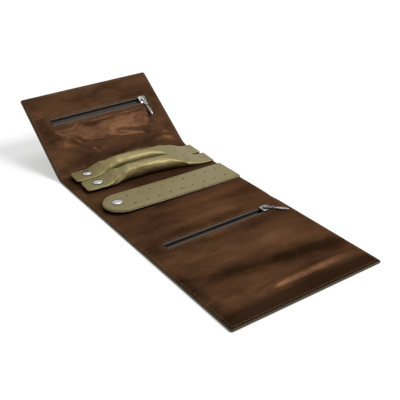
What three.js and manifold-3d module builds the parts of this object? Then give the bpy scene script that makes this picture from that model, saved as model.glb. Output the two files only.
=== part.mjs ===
// A jewelry folder, open on a table: a leather strip lined with satin, with two padded ring rolls,
// an earring strap and two zip pockets. Millimetres, +Z up, origin under the middle of the centre panel.
import * as THREE from "three";
import { mergeVertices } from "three/addons/utils/BufferGeometryUtils.js";
import Module from "manifold-3d";

const wasm = await Module();
wasm.setup();

// Strip: five stretches, from the lower free edge to the flap's free edge
const folderWidth = 184;
const lowerPanelLength = 158;
const lowerFoldLength = 36;
const centrePanelLength = 164;
const upperFoldLength = 31;
const flapLength = 94;
const flapAngle = 37; // degrees above the table
const cornerRadius = 6;

// Layers, from the table up
const coverThickness = 1.1;
const hemThickness = 1.2; // the cover's turned edge, on top of the cover
const hemWidth = 8;
const boardThickness = 0.9;
const liningThickness = 0.5;
const seat = 0.3; // gap between two pieces that lie on each other
const creaseGap = 0.4; // between two stretches, along the strip
const liningInset = 0.8; // from the cover's edge
const boardFromCrease = 3;

// Zip pockets
const windowFromLeft = 22;
const windowFromRight = 21;
const windowWidth = 12;
const flapZipUp = 77.5; // from the crease at the centre panel to the middle of the zip
const lowerZipUp = 143.5; // from the lower free edge
const flapPocketDepth = 6.2;
const lowerPocketDepth = 4.8;
const flapPocketReach = 45; // from the zip to the far end of its pocket
const lowerPocketReach = 58;
const flapPocketSlope = 32; // length over which a pocket's front comes down at its far end
const lowerPocketSlope = 44;
const zipSideSlope = 5; // the same, above the lower zip and above the flap's zip
const pocketSideSlope = 16;
const pocketSeam = 0.32; // share of the slope at which the back layer meets the front
const bagThickness = 0.4;

// Zip
const tapeThickness = 0.5;
const tapeUnderLap = 2.2;
const mouthGap = 6.8; // between the two open rows
const toothLength = 1.1;
const toothHeight = 1.3;
const toothTip = 0.4; // how far the teeth reach past the tape's edge
const toothPitch = 2.6;
const toothWeb = 0.5; // the strip that carries the teeth
const runClearance = 0.3;
const stopLength = 1.6;
const flapSliderFromEnd = 7.2; // from the window's right end
const lowerSliderFromEnd = 11;
const sliderLength = 10.6;
const sliderWall = 0.7;
const sliderPlate = 0.9;
const sliderNose = 2.2; // length of the rounded shoulders
const sliderShoulder = 3.2;
const sliderCorner = 1.2;
const dividerLength = 3.4;
const dividerInset = 0.3; // from the slider's mouth
const eyePostRadius = 1.15;
const eyePostHeight = 1.8;
const eyeCapRadius = 1.9;
const eyeCapHeight = 0.6;
const eyeRim = 1.2;
const linkThickness = 1.1;
const linkLength = 8.6; // from the post to the pull's pin
const linkPinRadius = 0.6;
const linkNeck = 2.2; // width
const linkForkGap = 2.7;
const linkCheek = 0.9;
const linkPinCover = 0.8; // past the middle of the pin
const knuckleWall = 0.55; // of the pull, round the link's pin
const pullLength = 18; // from its pin
const pullWidth = 6.6;
const pullNeck = 2; // width at its pin
const pullThickness = 1.3;
const pullDroop = 3; // degrees below the panel's plane
const flapPullHeading = -84; // degrees from +X, in the panel's plane
const lowerPullHeading = -42;

// Snaps
const capDiameter = 12.5;
const capHeight = 2.2;
const capShankRadius = 1.5;
const socketDiameter = 9;
const socketHeight = 2.5;
const socketRoof = 0.7;
const socketChamfer = 0.5;
const studFlangeRadius = 4;
const studFlange = 0.5;
const studRadius = 2.3;
const snapClearance = 0.3;
const postRadius = 1.2;
const postFlangeRadius = 3.8;
const postFlange = 0.4;
const shankClearance = 0.25;

// Straps: all are sewn in at the right-hand edge
const seamFromRight = 8; // from the right-hand edge to the line where a strap hinges
const sewnEndLength = 6.4;
const strapWidth = 43.5;
const strapFromCrease = 105.3; // from the upper crease to the strap's middle
const strapTipFromLeft = 9.5; // from the left-hand edge
const strapTopThickness = 1.1;
const strapBackThickness = 0.8;
const strapSnapFromTip = 15.9;
const earringHoleDiameter = 2;
const earringHoleColumns = 9;
const earringRowSpacing = 21;
const lastHoleFromSeam = 8.4;
const firstHoleFromTip = 33.3;
const rollTabThickness = 2.4;
const rollRadius = 9.1;
const rollSwell = 0.4; // extra radius at the middle of the roll
const rollSkin = 1;
const rollSeamWidth = 0.6;
const rollTabLength = 25; // tip to the start of the taper
const rollTipTaper = 32;
const rollSeamTaper = 66;
const rollSewnTab = 2;
const rollTabCorner = 5;
const rollLean = 16; // degrees by which a half flattened section rises towards the flap
const rollStuffingStart = 13; // from the start of a taper to the stuffing
const rollTipFromLeft = 13;
const rollSnapFromTip = 17.6;
const upperRollFromCrease = 25.8; // at the seam line
const lowerRollFromCrease = 58;
const upperRollYaw = 3.6; // degrees
const lowerRollYaw = 4.6;

// Closure
const magnetDiameter = 12;
const magnetThickness = 0.9;
const magnetFromSide = 32; // from the folder's left and right edges
const magnetFromEdge = 16; // from the lower panel's free edge to the magnets

// Worked out from the sizes above
const halfWidth = folderWidth / 2;
const hemTop = coverThickness + hemThickness;
const boardBottom = coverThickness + seat;
const boardTop = boardBottom + boardThickness;
const liningBottom = Math.max(hemTop, boardTop) + seat;
const liningTop = liningBottom + liningThickness;
const axisHeight = liningTop;
const centreHalf = centrePanelLength / 2;
const strapCentreY = centreHalf - strapFromCrease;
const seamX = halfWidth - seamFromRight;
const strapReach = seamX + halfWidth - strapTipFromLeft; // from the seam line to the tip
const earringHolePitch = (strapReach - lastHoleFromSeam - firstHoleFromTip) / (earringHoleColumns - 1);
const windowLength = folderWidth - windowFromLeft - windowFromRight;
const windowMiddleX = (windowFromLeft - windowFromRight) / 2;
const rowOuter = mouthGap / 2 + toothLength;
const tapeInner = mouthGap / 2 + toothTip;
const tapeReach = windowWidth / 2 + tapeUnderLap;
const zipEdge = tapeReach + seat + zipSideSlope; // where the lining is flat again beside a zip
const flapZipY = flapZipUp - upperFoldLength;
const flapPocket = { depth: flapPocketDepth, reach: flapPocketReach, slope: flapPocketSlope };
const lowerPocket = { depth: lowerPocketDepth, reach: lowerPocketReach, slope: lowerPocketSlope };
const lowerZipY = lowerPanelLength - lowerZipUp; // below the crease
const magnetY = lowerPanelLength - magnetFromEdge;
const keeperY = -(magnetY - centrePanelLength);
const magnetX = halfWidth - magnetFromSide;
const rad = THREE.MathUtils.degToRad;
const rolls = [
  ["ring_roll_1", upperRollFromCrease, upperRollYaw],
  ["ring_roll_2", lowerRollFromCrease, lowerRollYaw],
].map(([name, fromCrease, yaw]) => ({
  name,
  yaw,
  y: centreHalf - fromCrease,
  reach: (seamX + halfWidth - rollTipFromLeft) / Math.cos(rad(yaw)),
}));
const cutPast = 1; // how far a cut reaches past what it cuts
const sink = 0.3; // how far two joined shapes reach into each other

const leather = { color: 0x7f7752, roughness: 0.65, metalness: 0 };
const satin = { color: 0x5c3a24, roughness: 0.42, metalness: 0 };
const olive = { color: 0x9a9064, roughness: 0.7, metalness: 0 };
const board = { color: 0xb9ad97, roughness: 0.9, metalness: 0 };
const zipCloth = { color: 0x4a403c, roughness: 0.85, metalness: 0 };
const zipTeeth = { color: 0x2d2624, roughness: 0.5, metalness: 0 };
const nickel = { color: 0xc8c8c6, roughness: 0.25, metalness: 1 };
const felt = { color: 0xd8d0c0, roughness: 1, metalness: 0 };

// The solid of a closed geometry, and the geometry of a solid
function toSolid(geometry) {
  const bare = geometry.clone();
  bare.deleteAttribute("normal");
  bare.deleteAttribute("uv");
  const merged = mergeVertices(bare, 1e-4);
  return new wasm.Manifold(
    new wasm.Mesh({
      numProp: 3,
      vertProperties: new Float32Array(merged.attributes.position.array),
      triVerts: new Uint32Array(merged.index.array),
    }),
  );
}

function toGeometry(solid) {
  const mesh = solid.getMesh();
  const geometry = new THREE.BufferGeometry();
  geometry.setAttribute("position", new THREE.BufferAttribute(mesh.vertProperties, 3));
  geometry.setIndex(new THREE.BufferAttribute(mesh.triVerts, 1));
  const flat = geometry.toNonIndexed();
  flat.computeVertexNormals();
  return flat;
}

function piece(group, name, solid, look) {
  const mesh = new THREE.Mesh(toGeometry(solid), new THREE.MeshStandardMaterial(look));
  mesh.name = name;
  group.add(mesh);
  return mesh;
}

// A closed outline raised from z = bottom by height
function raised(shape, bottom, height, curveSegments = 8) {
  const options = { depth: height, bevelEnabled: false, curveSegments };
  return toSolid(new THREE.ExtrudeGeometry(shape, options).translate(0, 0, bottom));
}

function block(x0, x1, y0, y1, z0, z1) {
  const box = new THREE.BoxGeometry(x1 - x0, y1 - y0, z1 - z0);
  return toSolid(box.translate((x0 + x1) / 2, (y0 + y1) / 2, (z0 + z1) / 2));
}

function disc(x, y, radius, bottom, height, sides = 20) {
  const cylinder = new THREE.CylinderGeometry(radius, radius, height, sides).rotateX(Math.PI / 2);
  return toSolid(cylinder.translate(x, y, bottom + height / 2));
}

// A profile of [radius, height] pairs turned about Z
function turned(profile, x, y, bottom, sides = 20) {
  const points = profile.map(([r, z]) => new THREE.Vector2(r, z));
  const lathe = new THREE.LatheGeometry(points, sides).rotateX(Math.PI / 2);
  return toSolid(lathe.translate(x, y, bottom));
}

// A rectangle with its own radius at the low-Y and the high-Y corners
function sheetOutline(x0, x1, y0, y1, lowRadius, highRadius) {
  const shape = new THREE.Shape();
  const corner = (x, y, sideX, sideY, radius, start) => {
    if (radius) shape.absarc(x - sideX * radius, y - sideY * radius, radius, start, start + Math.PI / 2);
    else shape.lineTo(x, y);
  };
  shape.moveTo(x0, y0);
  corner(x1, y0, 1, -1, lowRadius, -Math.PI / 2);
  corner(x1, y1, 1, 1, highRadius, 0);
  corner(x0, y1, -1, 1, highRadius, Math.PI / 2);
  if (lowRadius) corner(x0, y0, -1, -1, lowRadius, Math.PI);
  return shape;
}

// One stretch of the cover from y0 to y1, with its turned edge at the sides and at a free end
function coverStretch(y0, y1, freeLow, freeHigh) {
  const low = freeLow ? cornerRadius : 0;
  const high = freeHigh ? cornerRadius : 0;
  const outer = sheetOutline(-halfWidth, halfWidth, y0, y1, low, high);
  const inX = halfWidth - hemWidth;
  const recessLow = freeLow ? y0 + hemWidth : y0 - cutPast;
  const recessHigh = freeHigh ? y1 - hemWidth : y1 + cutPast;
  const recess = block(-inX, inX, recessLow, recessHigh, coverThickness, hemTop + cutPast);
  return raised(outer, 0, hemTop).subtract(recess);
}

// A stretch's board, clear of the turned edge and of the creases
function boardStretch(y0, y1, freeLow, freeHigh) {
  const free = hemWidth + seat;
  const inX = halfWidth - free;
  const low = y0 + (freeLow ? free : boardFromCrease);
  const high = y1 - (freeHigh ? free : boardFromCrease);
  return block(-inX, inX, low, high, boardBottom, boardTop);
}

// Round holes through a flat layer
function drilled(solid, places, radius) {
  const height = liningTop + 2 * cutPast;
  return places.reduce((s, [x, y]) => s.subtract(disc(x, y, radius, -cutPast, height)), solid);
}

const rise = (t) => {
  const s = THREE.MathUtils.clamp(t, 0, 1);
  return s * s * (3 - 2 * s);
};

// Height of a pocket's front above the plain lining, at a point of a panel that starts at its crease.
// across is the distance from the zip's middle, towards the pocket when positive.
function pocketHeight(pocket, x, across) {
  const side = Math.min(x + halfWidth, halfWidth - x) - liningInset;
  const far = (pocket.reach - across) / pocket.slope;
  const near = (across + zipEdge) / zipSideSlope;
  return pocket.depth * rise(side / pocketSideSlope) * rise(far) * rise(near);
}

// Lining of a stretch as a grid, lifted by height(x, y), with the cells closer where it curves
function liningStretch(y0, y1, ys, height) {
  const x0 = -halfWidth + liningInset;
  const x1 = halfWidth - liningInset;
  const steps = [0.25, 0.5, 0.75, 1].map((s) => s * pocketSideSlope);
  const xs = [x0, ...steps.map((s) => x0 + s), ...steps.reverse().map((s) => x1 - s), x1];
  const rows = [y0, ...ys, y1];
  const positions = [];
  const index = [];
  const nx = xs.length;
  const layer = nx * rows.length;
  for (const thickness of [0, liningThickness]) {
    for (const y of rows) {
      for (const x of xs) positions.push(x, y, liningBottom + height(x, y) + thickness);
    }
  }
  const quad = (a, b, c, d) => index.push(a, b, c, a, c, d);
  for (let j = 0; j + 1 < rows.length; j++) {
    for (let i = 0; i + 1 < nx; i++) {
      const a = j * nx + i;
      quad(a, a + nx, a + nx + 1, a + 1);
      quad(layer + a, layer + a + 1, layer + a + nx + 1, layer + a + nx);
    }
  }
  for (let i = 0; i + 1 < nx; i++) {
    const a = (rows.length - 1) * nx + i;
    quad(i, i + 1, layer + i + 1, layer + i);
    quad(a + 1, a, layer + a, layer + a + 1);
  }
  for (let j = 0; j + 1 < rows.length; j++) {
    const a = j * nx;
    const b = a + nx - 1;
    quad(a + nx, a, layer + a, layer + a + nx);
    quad(b, b + nx, layer + b + nx, layer + b);
  }
  const geometry = new THREE.BufferGeometry();
  geometry.setAttribute("position", new THREE.Float32BufferAttribute(positions, 3));
  geometry.setIndex(index);
  return toSolid(geometry);
}

// A loft through closed rings of equally many points, with flat ends
function loft(rings) {
  const count = rings[0].length;
  const positions = rings.flat(2);
  const index = [];
  for (let k = 0; k + 1 < rings.length; k++) {
    for (let i = 0; i < count; i++) {
      const a = k * count + i;
      const b = k * count + ((i + 1) % count);
      index.push(a, b, b + count, a, b + count, a + count);
    }
  }
  const last = (rings.length - 1) * count;
  for (let i = 1; i + 1 < count; i++) {
    index.push(0, i + 1, i);
    index.push(last, last + i, last + i + 1);
  }
  const geometry = new THREE.BufferGeometry();
  geometry.setAttribute("position", new THREE.Float32BufferAttribute(positions, 3));
  geometry.setIndex(index);
  return toSolid(geometry);
}

// The zip in its own frame: X along it, Y across, Z out of the panel, origin in the tape's middle
const sliderHalf = rowOuter + runClearance + sliderWall;
const teethTop = -tapeThickness / 2 - seat;
const teethBottom = teethTop - toothHeight;
const channelTop = tapeThickness / 2 + runClearance;
const channelBottom = teethBottom - runClearance;
const sliderBottom = channelBottom - sliderPlate;
const knuckleBore = linkPinRadius + runClearance;
const knuckleRadius = knuckleBore + knuckleWall;
const liningFace = tapeThickness / 2 + seat + liningThickness;
const pullClear = liningFace + knuckleRadius - linkThickness / 2; // lowest link whose pull clears the lining
const sliderTop = Math.max(channelTop + sliderPlate, pullClear);
const linkBottom = sliderTop + runClearance;
const pinHeight = linkBottom + linkThickness / 2;
const eyeRadius = eyePostRadius + runClearance;
const rowEnd = windowLength / 2 - stopLength - runClearance;

function toothRow(side) {
  const shape = new THREE.Shape();
  const inner = mouthGap / 2;
  const web = rowOuter - toothWeb;
  const count = Math.floor((2 * rowEnd) / toothPitch);
  const start = (-count * toothPitch) / 2;
  shape.moveTo(start, side * rowOuter);
  for (let i = 0; i < count; i++) {
    const x = start + i * toothPitch;
    shape.lineTo(x, side * web);
    shape.lineTo(x + toothPitch * 0.1, side * inner);
    shape.lineTo(x + toothPitch * 0.5, side * inner);
    shape.lineTo(x + toothPitch * 0.6, side * web);
  }
  shape.lineTo(-start, side * web);
  shape.lineTo(-start, side * rowOuter);
  return raised(shape, teethBottom, toothHeight);
}

function tape(side) {
  const half = windowLength / 2 + tapeUnderLap;
  const [y0, y1] = [side * tapeInner, side * tapeReach].sort((a, b) => a - b);
  return block(-half, half, y0, y1, -tapeThickness / 2, tapeThickness / 2);
}

function zipStop(end) {
  const x = end * (windowLength / 2 - stopLength / 2);
  return block(x - stopLength / 2, x + stopLength / 2, -rowOuter, rowOuter, teethBottom, teethTop);
}

function sliderOutline() {
  const half = sliderLength / 2;
  const nose = half - sliderNose;
  const shoulder = sliderHalf - sliderShoulder;
  const tail = -half + sliderCorner;
  const corner = sliderHalf - sliderCorner;
  const shape = new THREE.Shape();
  shape.moveTo(tail, -sliderHalf);
  shape.lineTo(nose, -sliderHalf);
  shape.quadraticCurveTo(half, -sliderHalf, half, -shoulder);
  shape.lineTo(half, shoulder);
  shape.quadraticCurveTo(half, sliderHalf, nose, sliderHalf);
  shape.lineTo(tail, sliderHalf);
  shape.quadraticCurveTo(-half, sliderHalf, -half, corner);
  shape.lineTo(-half, -corner);
  shape.quadraticCurveTo(-half, -sliderHalf, tail, -sliderHalf);
  return shape;
}

// Two plates over and under the rows, side walls under the tapes, the divider, the eye's post and its cap
function slider() {
  const end = sliderLength / 2 + cutPast;
  const lane = rowOuter + runClearance;
  const side = sliderHalf + cutPast;
  const rowLane = block(-end, end, -lane, lane, channelBottom, channelTop);
  const tapeLane = block(-end, end, -side, side, -channelTop, channelTop);
  const plates = raised(sliderOutline(), sliderBottom, sliderTop - sliderBottom, 5);
  const wide = mouthGap / 2 - runClearance;
  const start = dividerInset - sliderLength / 2;
  const divider = new THREE.Shape();
  divider.moveTo(start, -wide);
  divider.lineTo(start + dividerLength * 0.4, -wide);
  divider.lineTo(start + dividerLength, -wide * 0.25);
  divider.lineTo(start + dividerLength, wide * 0.25);
  divider.lineTo(start + dividerLength * 0.4, wide);
  divider.lineTo(start, wide);
  const capProfile = [[0, 0], [eyeCapRadius, 0], [eyeCapRadius * 0.9, eyeCapHeight * 0.7], [0, eyeCapHeight]];
  return plates
    .subtract(rowLane)
    .subtract(tapeLane)
    .add(raised(divider, sliderBottom + sink, sliderTop - sliderBottom - 2 * sink))
    .add(disc(0, 0, eyePostRadius, sliderTop - sink, eyePostHeight + 2 * sink, 14))
    .add(turned(capProfile, 0, 0, sliderTop + eyePostHeight, 14));
}

// The link and the pull lie along +X from the post
function link() {
  const outer = eyeRadius + eyeRim;
  const forkHalf = linkForkGap / 2 + linkCheek;
  const forkStart = linkLength - knuckleRadius - seat;
  const bridge = linkCheek + sink;
  const top = linkBottom + linkThickness;
  const neck = block(outer - 2 * sink, forkStart, -linkNeck / 2, linkNeck / 2, linkBottom, top);
  let body = disc(0, 0, outer, linkBottom, linkThickness, 18).add(neck);
  body = body.add(block(forkStart - bridge, forkStart, -forkHalf, forkHalf, linkBottom, top));
  for (const side of [-1, 1]) {
    const [y0, y1] = [side * linkForkGap / 2, side * forkHalf].sort((a, b) => a - b);
    body = body.add(block(forkStart - bridge, linkLength + linkPinCover, y0, y1, linkBottom, top));
  }
  const pin = new THREE.CylinderGeometry(linkPinRadius, linkPinRadius, linkForkGap + linkCheek, 10);
  body = body.add(toSolid(pin.translate(linkLength, 0, pinHeight)));
  return body.subtract(disc(0, 0, eyeRadius, linkBottom - cutPast, linkThickness + 2 * cutPast, 18));
}

// The pull in a frame whose origin is its pin
function pull() {
  const knuckleHalf = linkForkGap / 2 - runClearance;
  const halfWide = pullWidth / 2;
  const halfNeck = pullNeck / 2;
  const round = pullLength - halfWide;
  const leaf = new THREE.Shape();
  leaf.moveTo(knuckleBore, -halfNeck);
  leaf.bezierCurveTo(round * 0.45, -halfNeck, round * 0.6, -halfWide, round, -halfWide);
  leaf.absarc(round, 0, halfWide, -Math.PI / 2, Math.PI / 2);
  leaf.bezierCurveTo(round * 0.6, halfWide, round * 0.45, halfNeck, knuckleBore, halfNeck);
  const knuckle = new THREE.CylinderGeometry(knuckleRadius, knuckleRadius, 2 * knuckleHalf, 14);
  const bore = new THREE.CylinderGeometry(knuckleBore, knuckleBore, 4 * knuckleHalf, 12);
  const roomEnd = knuckleRadius + 2 * runClearance;
  const room = block(-cutPast, roomEnd, -halfWide, -knuckleHalf, -knuckleRadius, knuckleRadius);
  return raised(leaf, -pullThickness / 2, pullThickness, 6)
    .subtract(room)
    .subtract(room.mirror([0, 1, 0]))
    .add(toSolid(knuckle))
    .subtract(toSolid(bore));
}

// One zip on a panel: at (x, y) of the group, with its tape just under the lining at height z
function addZip(group, prefix, y, liningUnder, sliderFromEnd, heading) {
  const zip = new THREE.Group();
  zip.position.set(windowMiddleX, y, liningUnder - seat - tapeThickness / 2);
  group.add(zip);
  for (const [word, side] of [["upper", 1], ["lower", -1]]) {
    piece(zip, `${prefix}_zip_tape_${word}`, tape(side), zipCloth);
    piece(zip, `${prefix}_zip_teeth_${word}`, toothRow(side), zipTeeth);
  }
  piece(zip, `${prefix}_zip_stop_left`, zipStop(-1), nickel);
  piece(zip, `${prefix}_zip_stop_right`, zipStop(1), nickel);
  const carriage = new THREE.Group();
  carriage.position.x = windowLength / 2 - sliderFromEnd;
  zip.add(carriage);
  piece(carriage, `${prefix}_zip_slider`, slider(), nickel);
  const swivel = new THREE.Group();
  swivel.rotation.z = rad(heading);
  carriage.add(swivel);
  piece(swivel, `${prefix}_zip_link`, link(), nickel);
  const tab = new THREE.Group();
  tab.position.set(linkLength, 0, pinHeight);
  tab.rotation.y = rad(pullDroop);
  swivel.add(tab);
  piece(tab, `${prefix}_zip_pull`, pull(), nickel);
}

// The pocket's window through the lining, and the pocket's back layer
function windowCut(y, liningUnder) {
  const x0 = windowMiddleX - windowLength / 2;
  const half = windowWidth / 2;
  const top = liningUnder + liningThickness + cutPast;
  return block(x0, x0 + windowLength, y - half, y + half, liningUnder - cutPast, top);
}

function pocketBack(zipY, pocket) {
  const inX = halfWidth - hemWidth - seat;
  const y0 = zipY - pocket.reach + pocketSeam * pocket.slope;
  return block(-inX, inX, y0, zipY + tapeReach, liningBottom, liningBottom + bagThickness);
}

// Snap halves, in a frame whose z = 0 is the table
const strapUnderSnap = liningTop + seat + studFlange + snapClearance + socketHeight + seat;
const studHeight = studFlange + socketHeight - socketRoof; // its top stays clear of the socket's roof
const studBore = postRadius + shankClearance;
const postTop = liningTop + seat + studFlange + 2 * sink;

// The stud is waisted below its head, so that the socket snaps over it
function stud(x, y) {
  const z0 = liningTop + seat;
  const profile = [
    [0, 0], [studFlangeRadius, 0], [studFlangeRadius, studFlange], [studRadius * 0.95, studFlange],
    [studRadius * 0.9, studHeight * 0.6], [studRadius, studHeight * 0.82],
    [studRadius * 0.7, studHeight], [0, studHeight],
  ];
  const hole = disc(x, y, studBore, z0 - cutPast, postTop + seat - z0 + cutPast, 12);
  return turned(profile, x, y, z0, 18).subtract(hole);
}

// The post's flange is held under the lining, and its shank reaches into the stud
function post(x, y) {
  const flangeBottom = liningBottom - seat - postFlange;
  const height = postTop - flangeBottom;
  const profile = [
    [0, 0], [postFlangeRadius, 0], [postFlangeRadius, postFlange], [postRadius, postFlange],
    [postRadius, height], [0, height],
  ];
  return turned(profile, x, y, flangeBottom, 16);
}

function socket(x, y, top) {
  const outer = socketDiameter / 2;
  const inner = studRadius + snapClearance;
  const hole = capShankRadius + shankClearance;
  const roofBottom = socketHeight - socketRoof;
  const profile = [
    [inner, 0], [outer - socketChamfer, 0], [outer, socketChamfer], [outer, socketHeight],
    [hole, socketHeight], [hole, roofBottom], [inner, roofBottom], [inner, 0],
  ];
  return turned(profile, x, y, top - socketHeight, 20);
}

function snapCap(x, y, strapTop, shankDepth) {
  const r = capDiameter / 2;
  const dome = new THREE.Shape();
  dome.moveTo(0, -shankDepth);
  dome.lineTo(capShankRadius, -shankDepth);
  dome.lineTo(capShankRadius, 0);
  dome.lineTo(r * 0.93, 0);
  dome.lineTo(r, capHeight * 0.23);
  dome.bezierCurveTo(r * 0.86, capHeight * 0.75, r * 0.55, capHeight, 0, capHeight);
  const profile = dome.getPoints(5).map((p) => [Math.max(p.x, 0), p.y]);
  return turned(profile, x, y, strapTop, 24);
}

// Half height, half width, lift and lean of a roll's section at the distance u from its seam. The skin keeps
// its girth, so the section widens as it flattens, and the tab end rises onto its snap.
const snapLift = strapUnderSnap - liningTop - seat;

function rollSection(roll, u) {
  const tubeStart = rollSewnTab + rollSeamTaper;
  const tubeEnd = roll.reach - rollTabLength - rollTipTaper;
  const middle = (tubeStart + tubeEnd) / 2;
  const fromTab = tubeEnd + rollTipTaper - u;
  const fullness = rise((u - rollSewnTab) / rollSeamTaper) * rise(fromTab / rollTipTaper);
  const swell = rollSwell * (1 - Math.min(1, ((u - middle) / (tubeEnd - middle)) ** 2));
  const thick = THREE.MathUtils.lerp(rollTabThickness / 2, rollRadius + swell, fullness);
  const girth = 2 * Math.PI * rollRadius;
  const wide = thick + Math.max(0, (girth - 2 * Math.PI * thick) / 4);
  const lift = snapLift * rise((u - tubeEnd - 0.3 * rollTipTaper) / (0.7 * rollTipTaper));
  const lean = rad(rollLean) * 4 * fullness * (1 - fullness);
  return { thick, wide, lift, lean };
}

// Ring of a flattened tube: two half rounds joined by flats, at x = -u. It leans about its middle, and its
// underside stays at z = lift.
function rollRing(u, wide, thick, lift, lean, points) {
  const half = points / 2;
  const middle = lift + thick + (wide - thick) * Math.sin(lean);
  const ring = [];
  for (let i = 0; i < points; i++) {
    const side = i < half ? 1 : -1;
    const angle = -Math.PI / 2 + (Math.PI * (i % half)) / (half - 1);
    const y = side * (wide - thick + thick * Math.cos(angle));
    const z = side * thick * Math.sin(angle);
    const height = y * Math.sin(lean) + z * Math.cos(lean);
    ring.push([-u, y * Math.cos(lean) - z * Math.sin(lean), middle + height]);
  }
  return ring.reverse();
}

// Distances from the seam, evenly spread
function spread(from, to, steps) {
  return Array.from({ length: steps + 1 }, (_, k) => from + ((to - from) * k) / steps);
}

// A roll's surface, shrunk all round; the tip's corners are rounded where corner is given
function rollLoft(roll, shrink, places, points, corner = 0) {
  const tip = places[places.length - 1];
  const rings = places.map((u) => {
    const { thick, wide, lift, lean } = rollSection(roll, u);
    const past = Math.max(0, u - (tip - corner));
    const reach = wide - shrink - (corner - Math.sqrt(corner ** 2 - past ** 2));
    return rollRing(u, Math.max(reach, thick - shrink), thick - shrink, lift + shrink, lean, points);
  });
  return loft(rings);
}

// Folder, built from the centre panel outwards
const folder = new THREE.Group();
const halfGap = creaseGap / 2;

// Centre panel
const strapSnap = [seamX - strapReach + strapSnapFromTip, strapCentreY];
const rollSnaps = rolls.map((roll) => {
  const along = roll.reach - rollSnapFromTip;
  return [seamX - along * Math.cos(rad(roll.yaw)), roll.y + along * Math.sin(rad(roll.yaw))];
});
const snaps = [
  ["earring_snap", strapSnap],
  ["ring_roll_1_snap", rollSnaps[0]],
  ["ring_roll_2_snap", rollSnaps[1]],
];
const snapPlaces = snaps.map(([, place]) => place);

const flat = () => 0;

const centreCover = coverStretch(-centreHalf + halfGap, centreHalf - halfGap, false, false);
piece(folder, "centre_cover", centreCover, leather);
const centreBoard = boardStretch(-centreHalf, centreHalf, false, false);
piece(folder, "centre_board", drilled(centreBoard, snapPlaces, postFlangeRadius + seat), board);
const centreLining = liningStretch(-centreHalf + halfGap, centreHalf - halfGap, [], flat);
piece(folder, "centre_lining", drilled(centreLining, snapPlaces, studBore), satin);
for (const [name, [x, y]] of snaps) {
  piece(folder, `${name}_post`, post(x, y), nickel);
  piece(folder, `${name}_stud`, stud(x, y), nickel);
}

// Earring strap: its group hinges on the top of the seam and slopes down to it from the snap
const strapThickness = strapBackThickness + seat + strapTopThickness;
const strapHinge = new THREE.Group();
const strapSnapAlong = strapReach - strapSnapFromTip;
strapHinge.position.set(seamX, strapCentreY, liningTop + seat + strapThickness);
strapHinge.rotation.y = Math.atan(snapLift / strapSnapAlong);
folder.add(strapHinge);

function strapLayer(bottom, thickness) {
  const r = strapWidth / 2;
  const shape = new THREE.Shape();
  shape.moveTo(-creaseGap, -r);
  shape.lineTo(-creaseGap, r);
  shape.lineTo(-strapReach + r, r);
  shape.absarc(-strapReach + r, 0, r, Math.PI / 2, 1.5 * Math.PI);
  shape.lineTo(-creaseGap, -r);
  for (let i = 0; i < earringHoleColumns; i++) {
    for (const side of [-1, 1]) {
      const hole = new THREE.Path();
      const x = -lastHoleFromSeam - i * earringHolePitch;
      hole.absarc(x, (side * earringRowSpacing) / 2, earringHoleDiameter / 2, 0, 2 * Math.PI);
      shape.holes.push(hole);
    }
  }
  const rivet = new THREE.Path();
  rivet.absarc(-strapSnapAlong, 0, capShankRadius + shankClearance, 0, 2 * Math.PI);
  shape.holes.push(rivet);
  return raised(shape, bottom, thickness, 4);
}

piece(strapHinge, "earring_strap_top", strapLayer(-strapTopThickness, strapTopThickness), olive);
piece(strapHinge, "earring_strap_backing", strapLayer(-strapThickness, strapBackThickness), olive);
piece(strapHinge, "earring_snap_cap", snapCap(-strapSnapAlong, 0, seat, strapThickness + 2 * seat), nickel);
piece(strapHinge, "earring_snap_socket", socket(-strapSnapAlong, 0, -strapThickness - seat), nickel);

function sewnEnd(thickness, width) {
  return block(seat, sewnEndLength, -width / 2, width / 2, -thickness, 0);
}

const strapEnd = new THREE.Group();
strapEnd.position.copy(strapHinge.position);
folder.add(strapEnd);
piece(strapEnd, "earring_strap_sewn_end", sewnEnd(strapThickness, strapWidth), olive);

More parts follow.
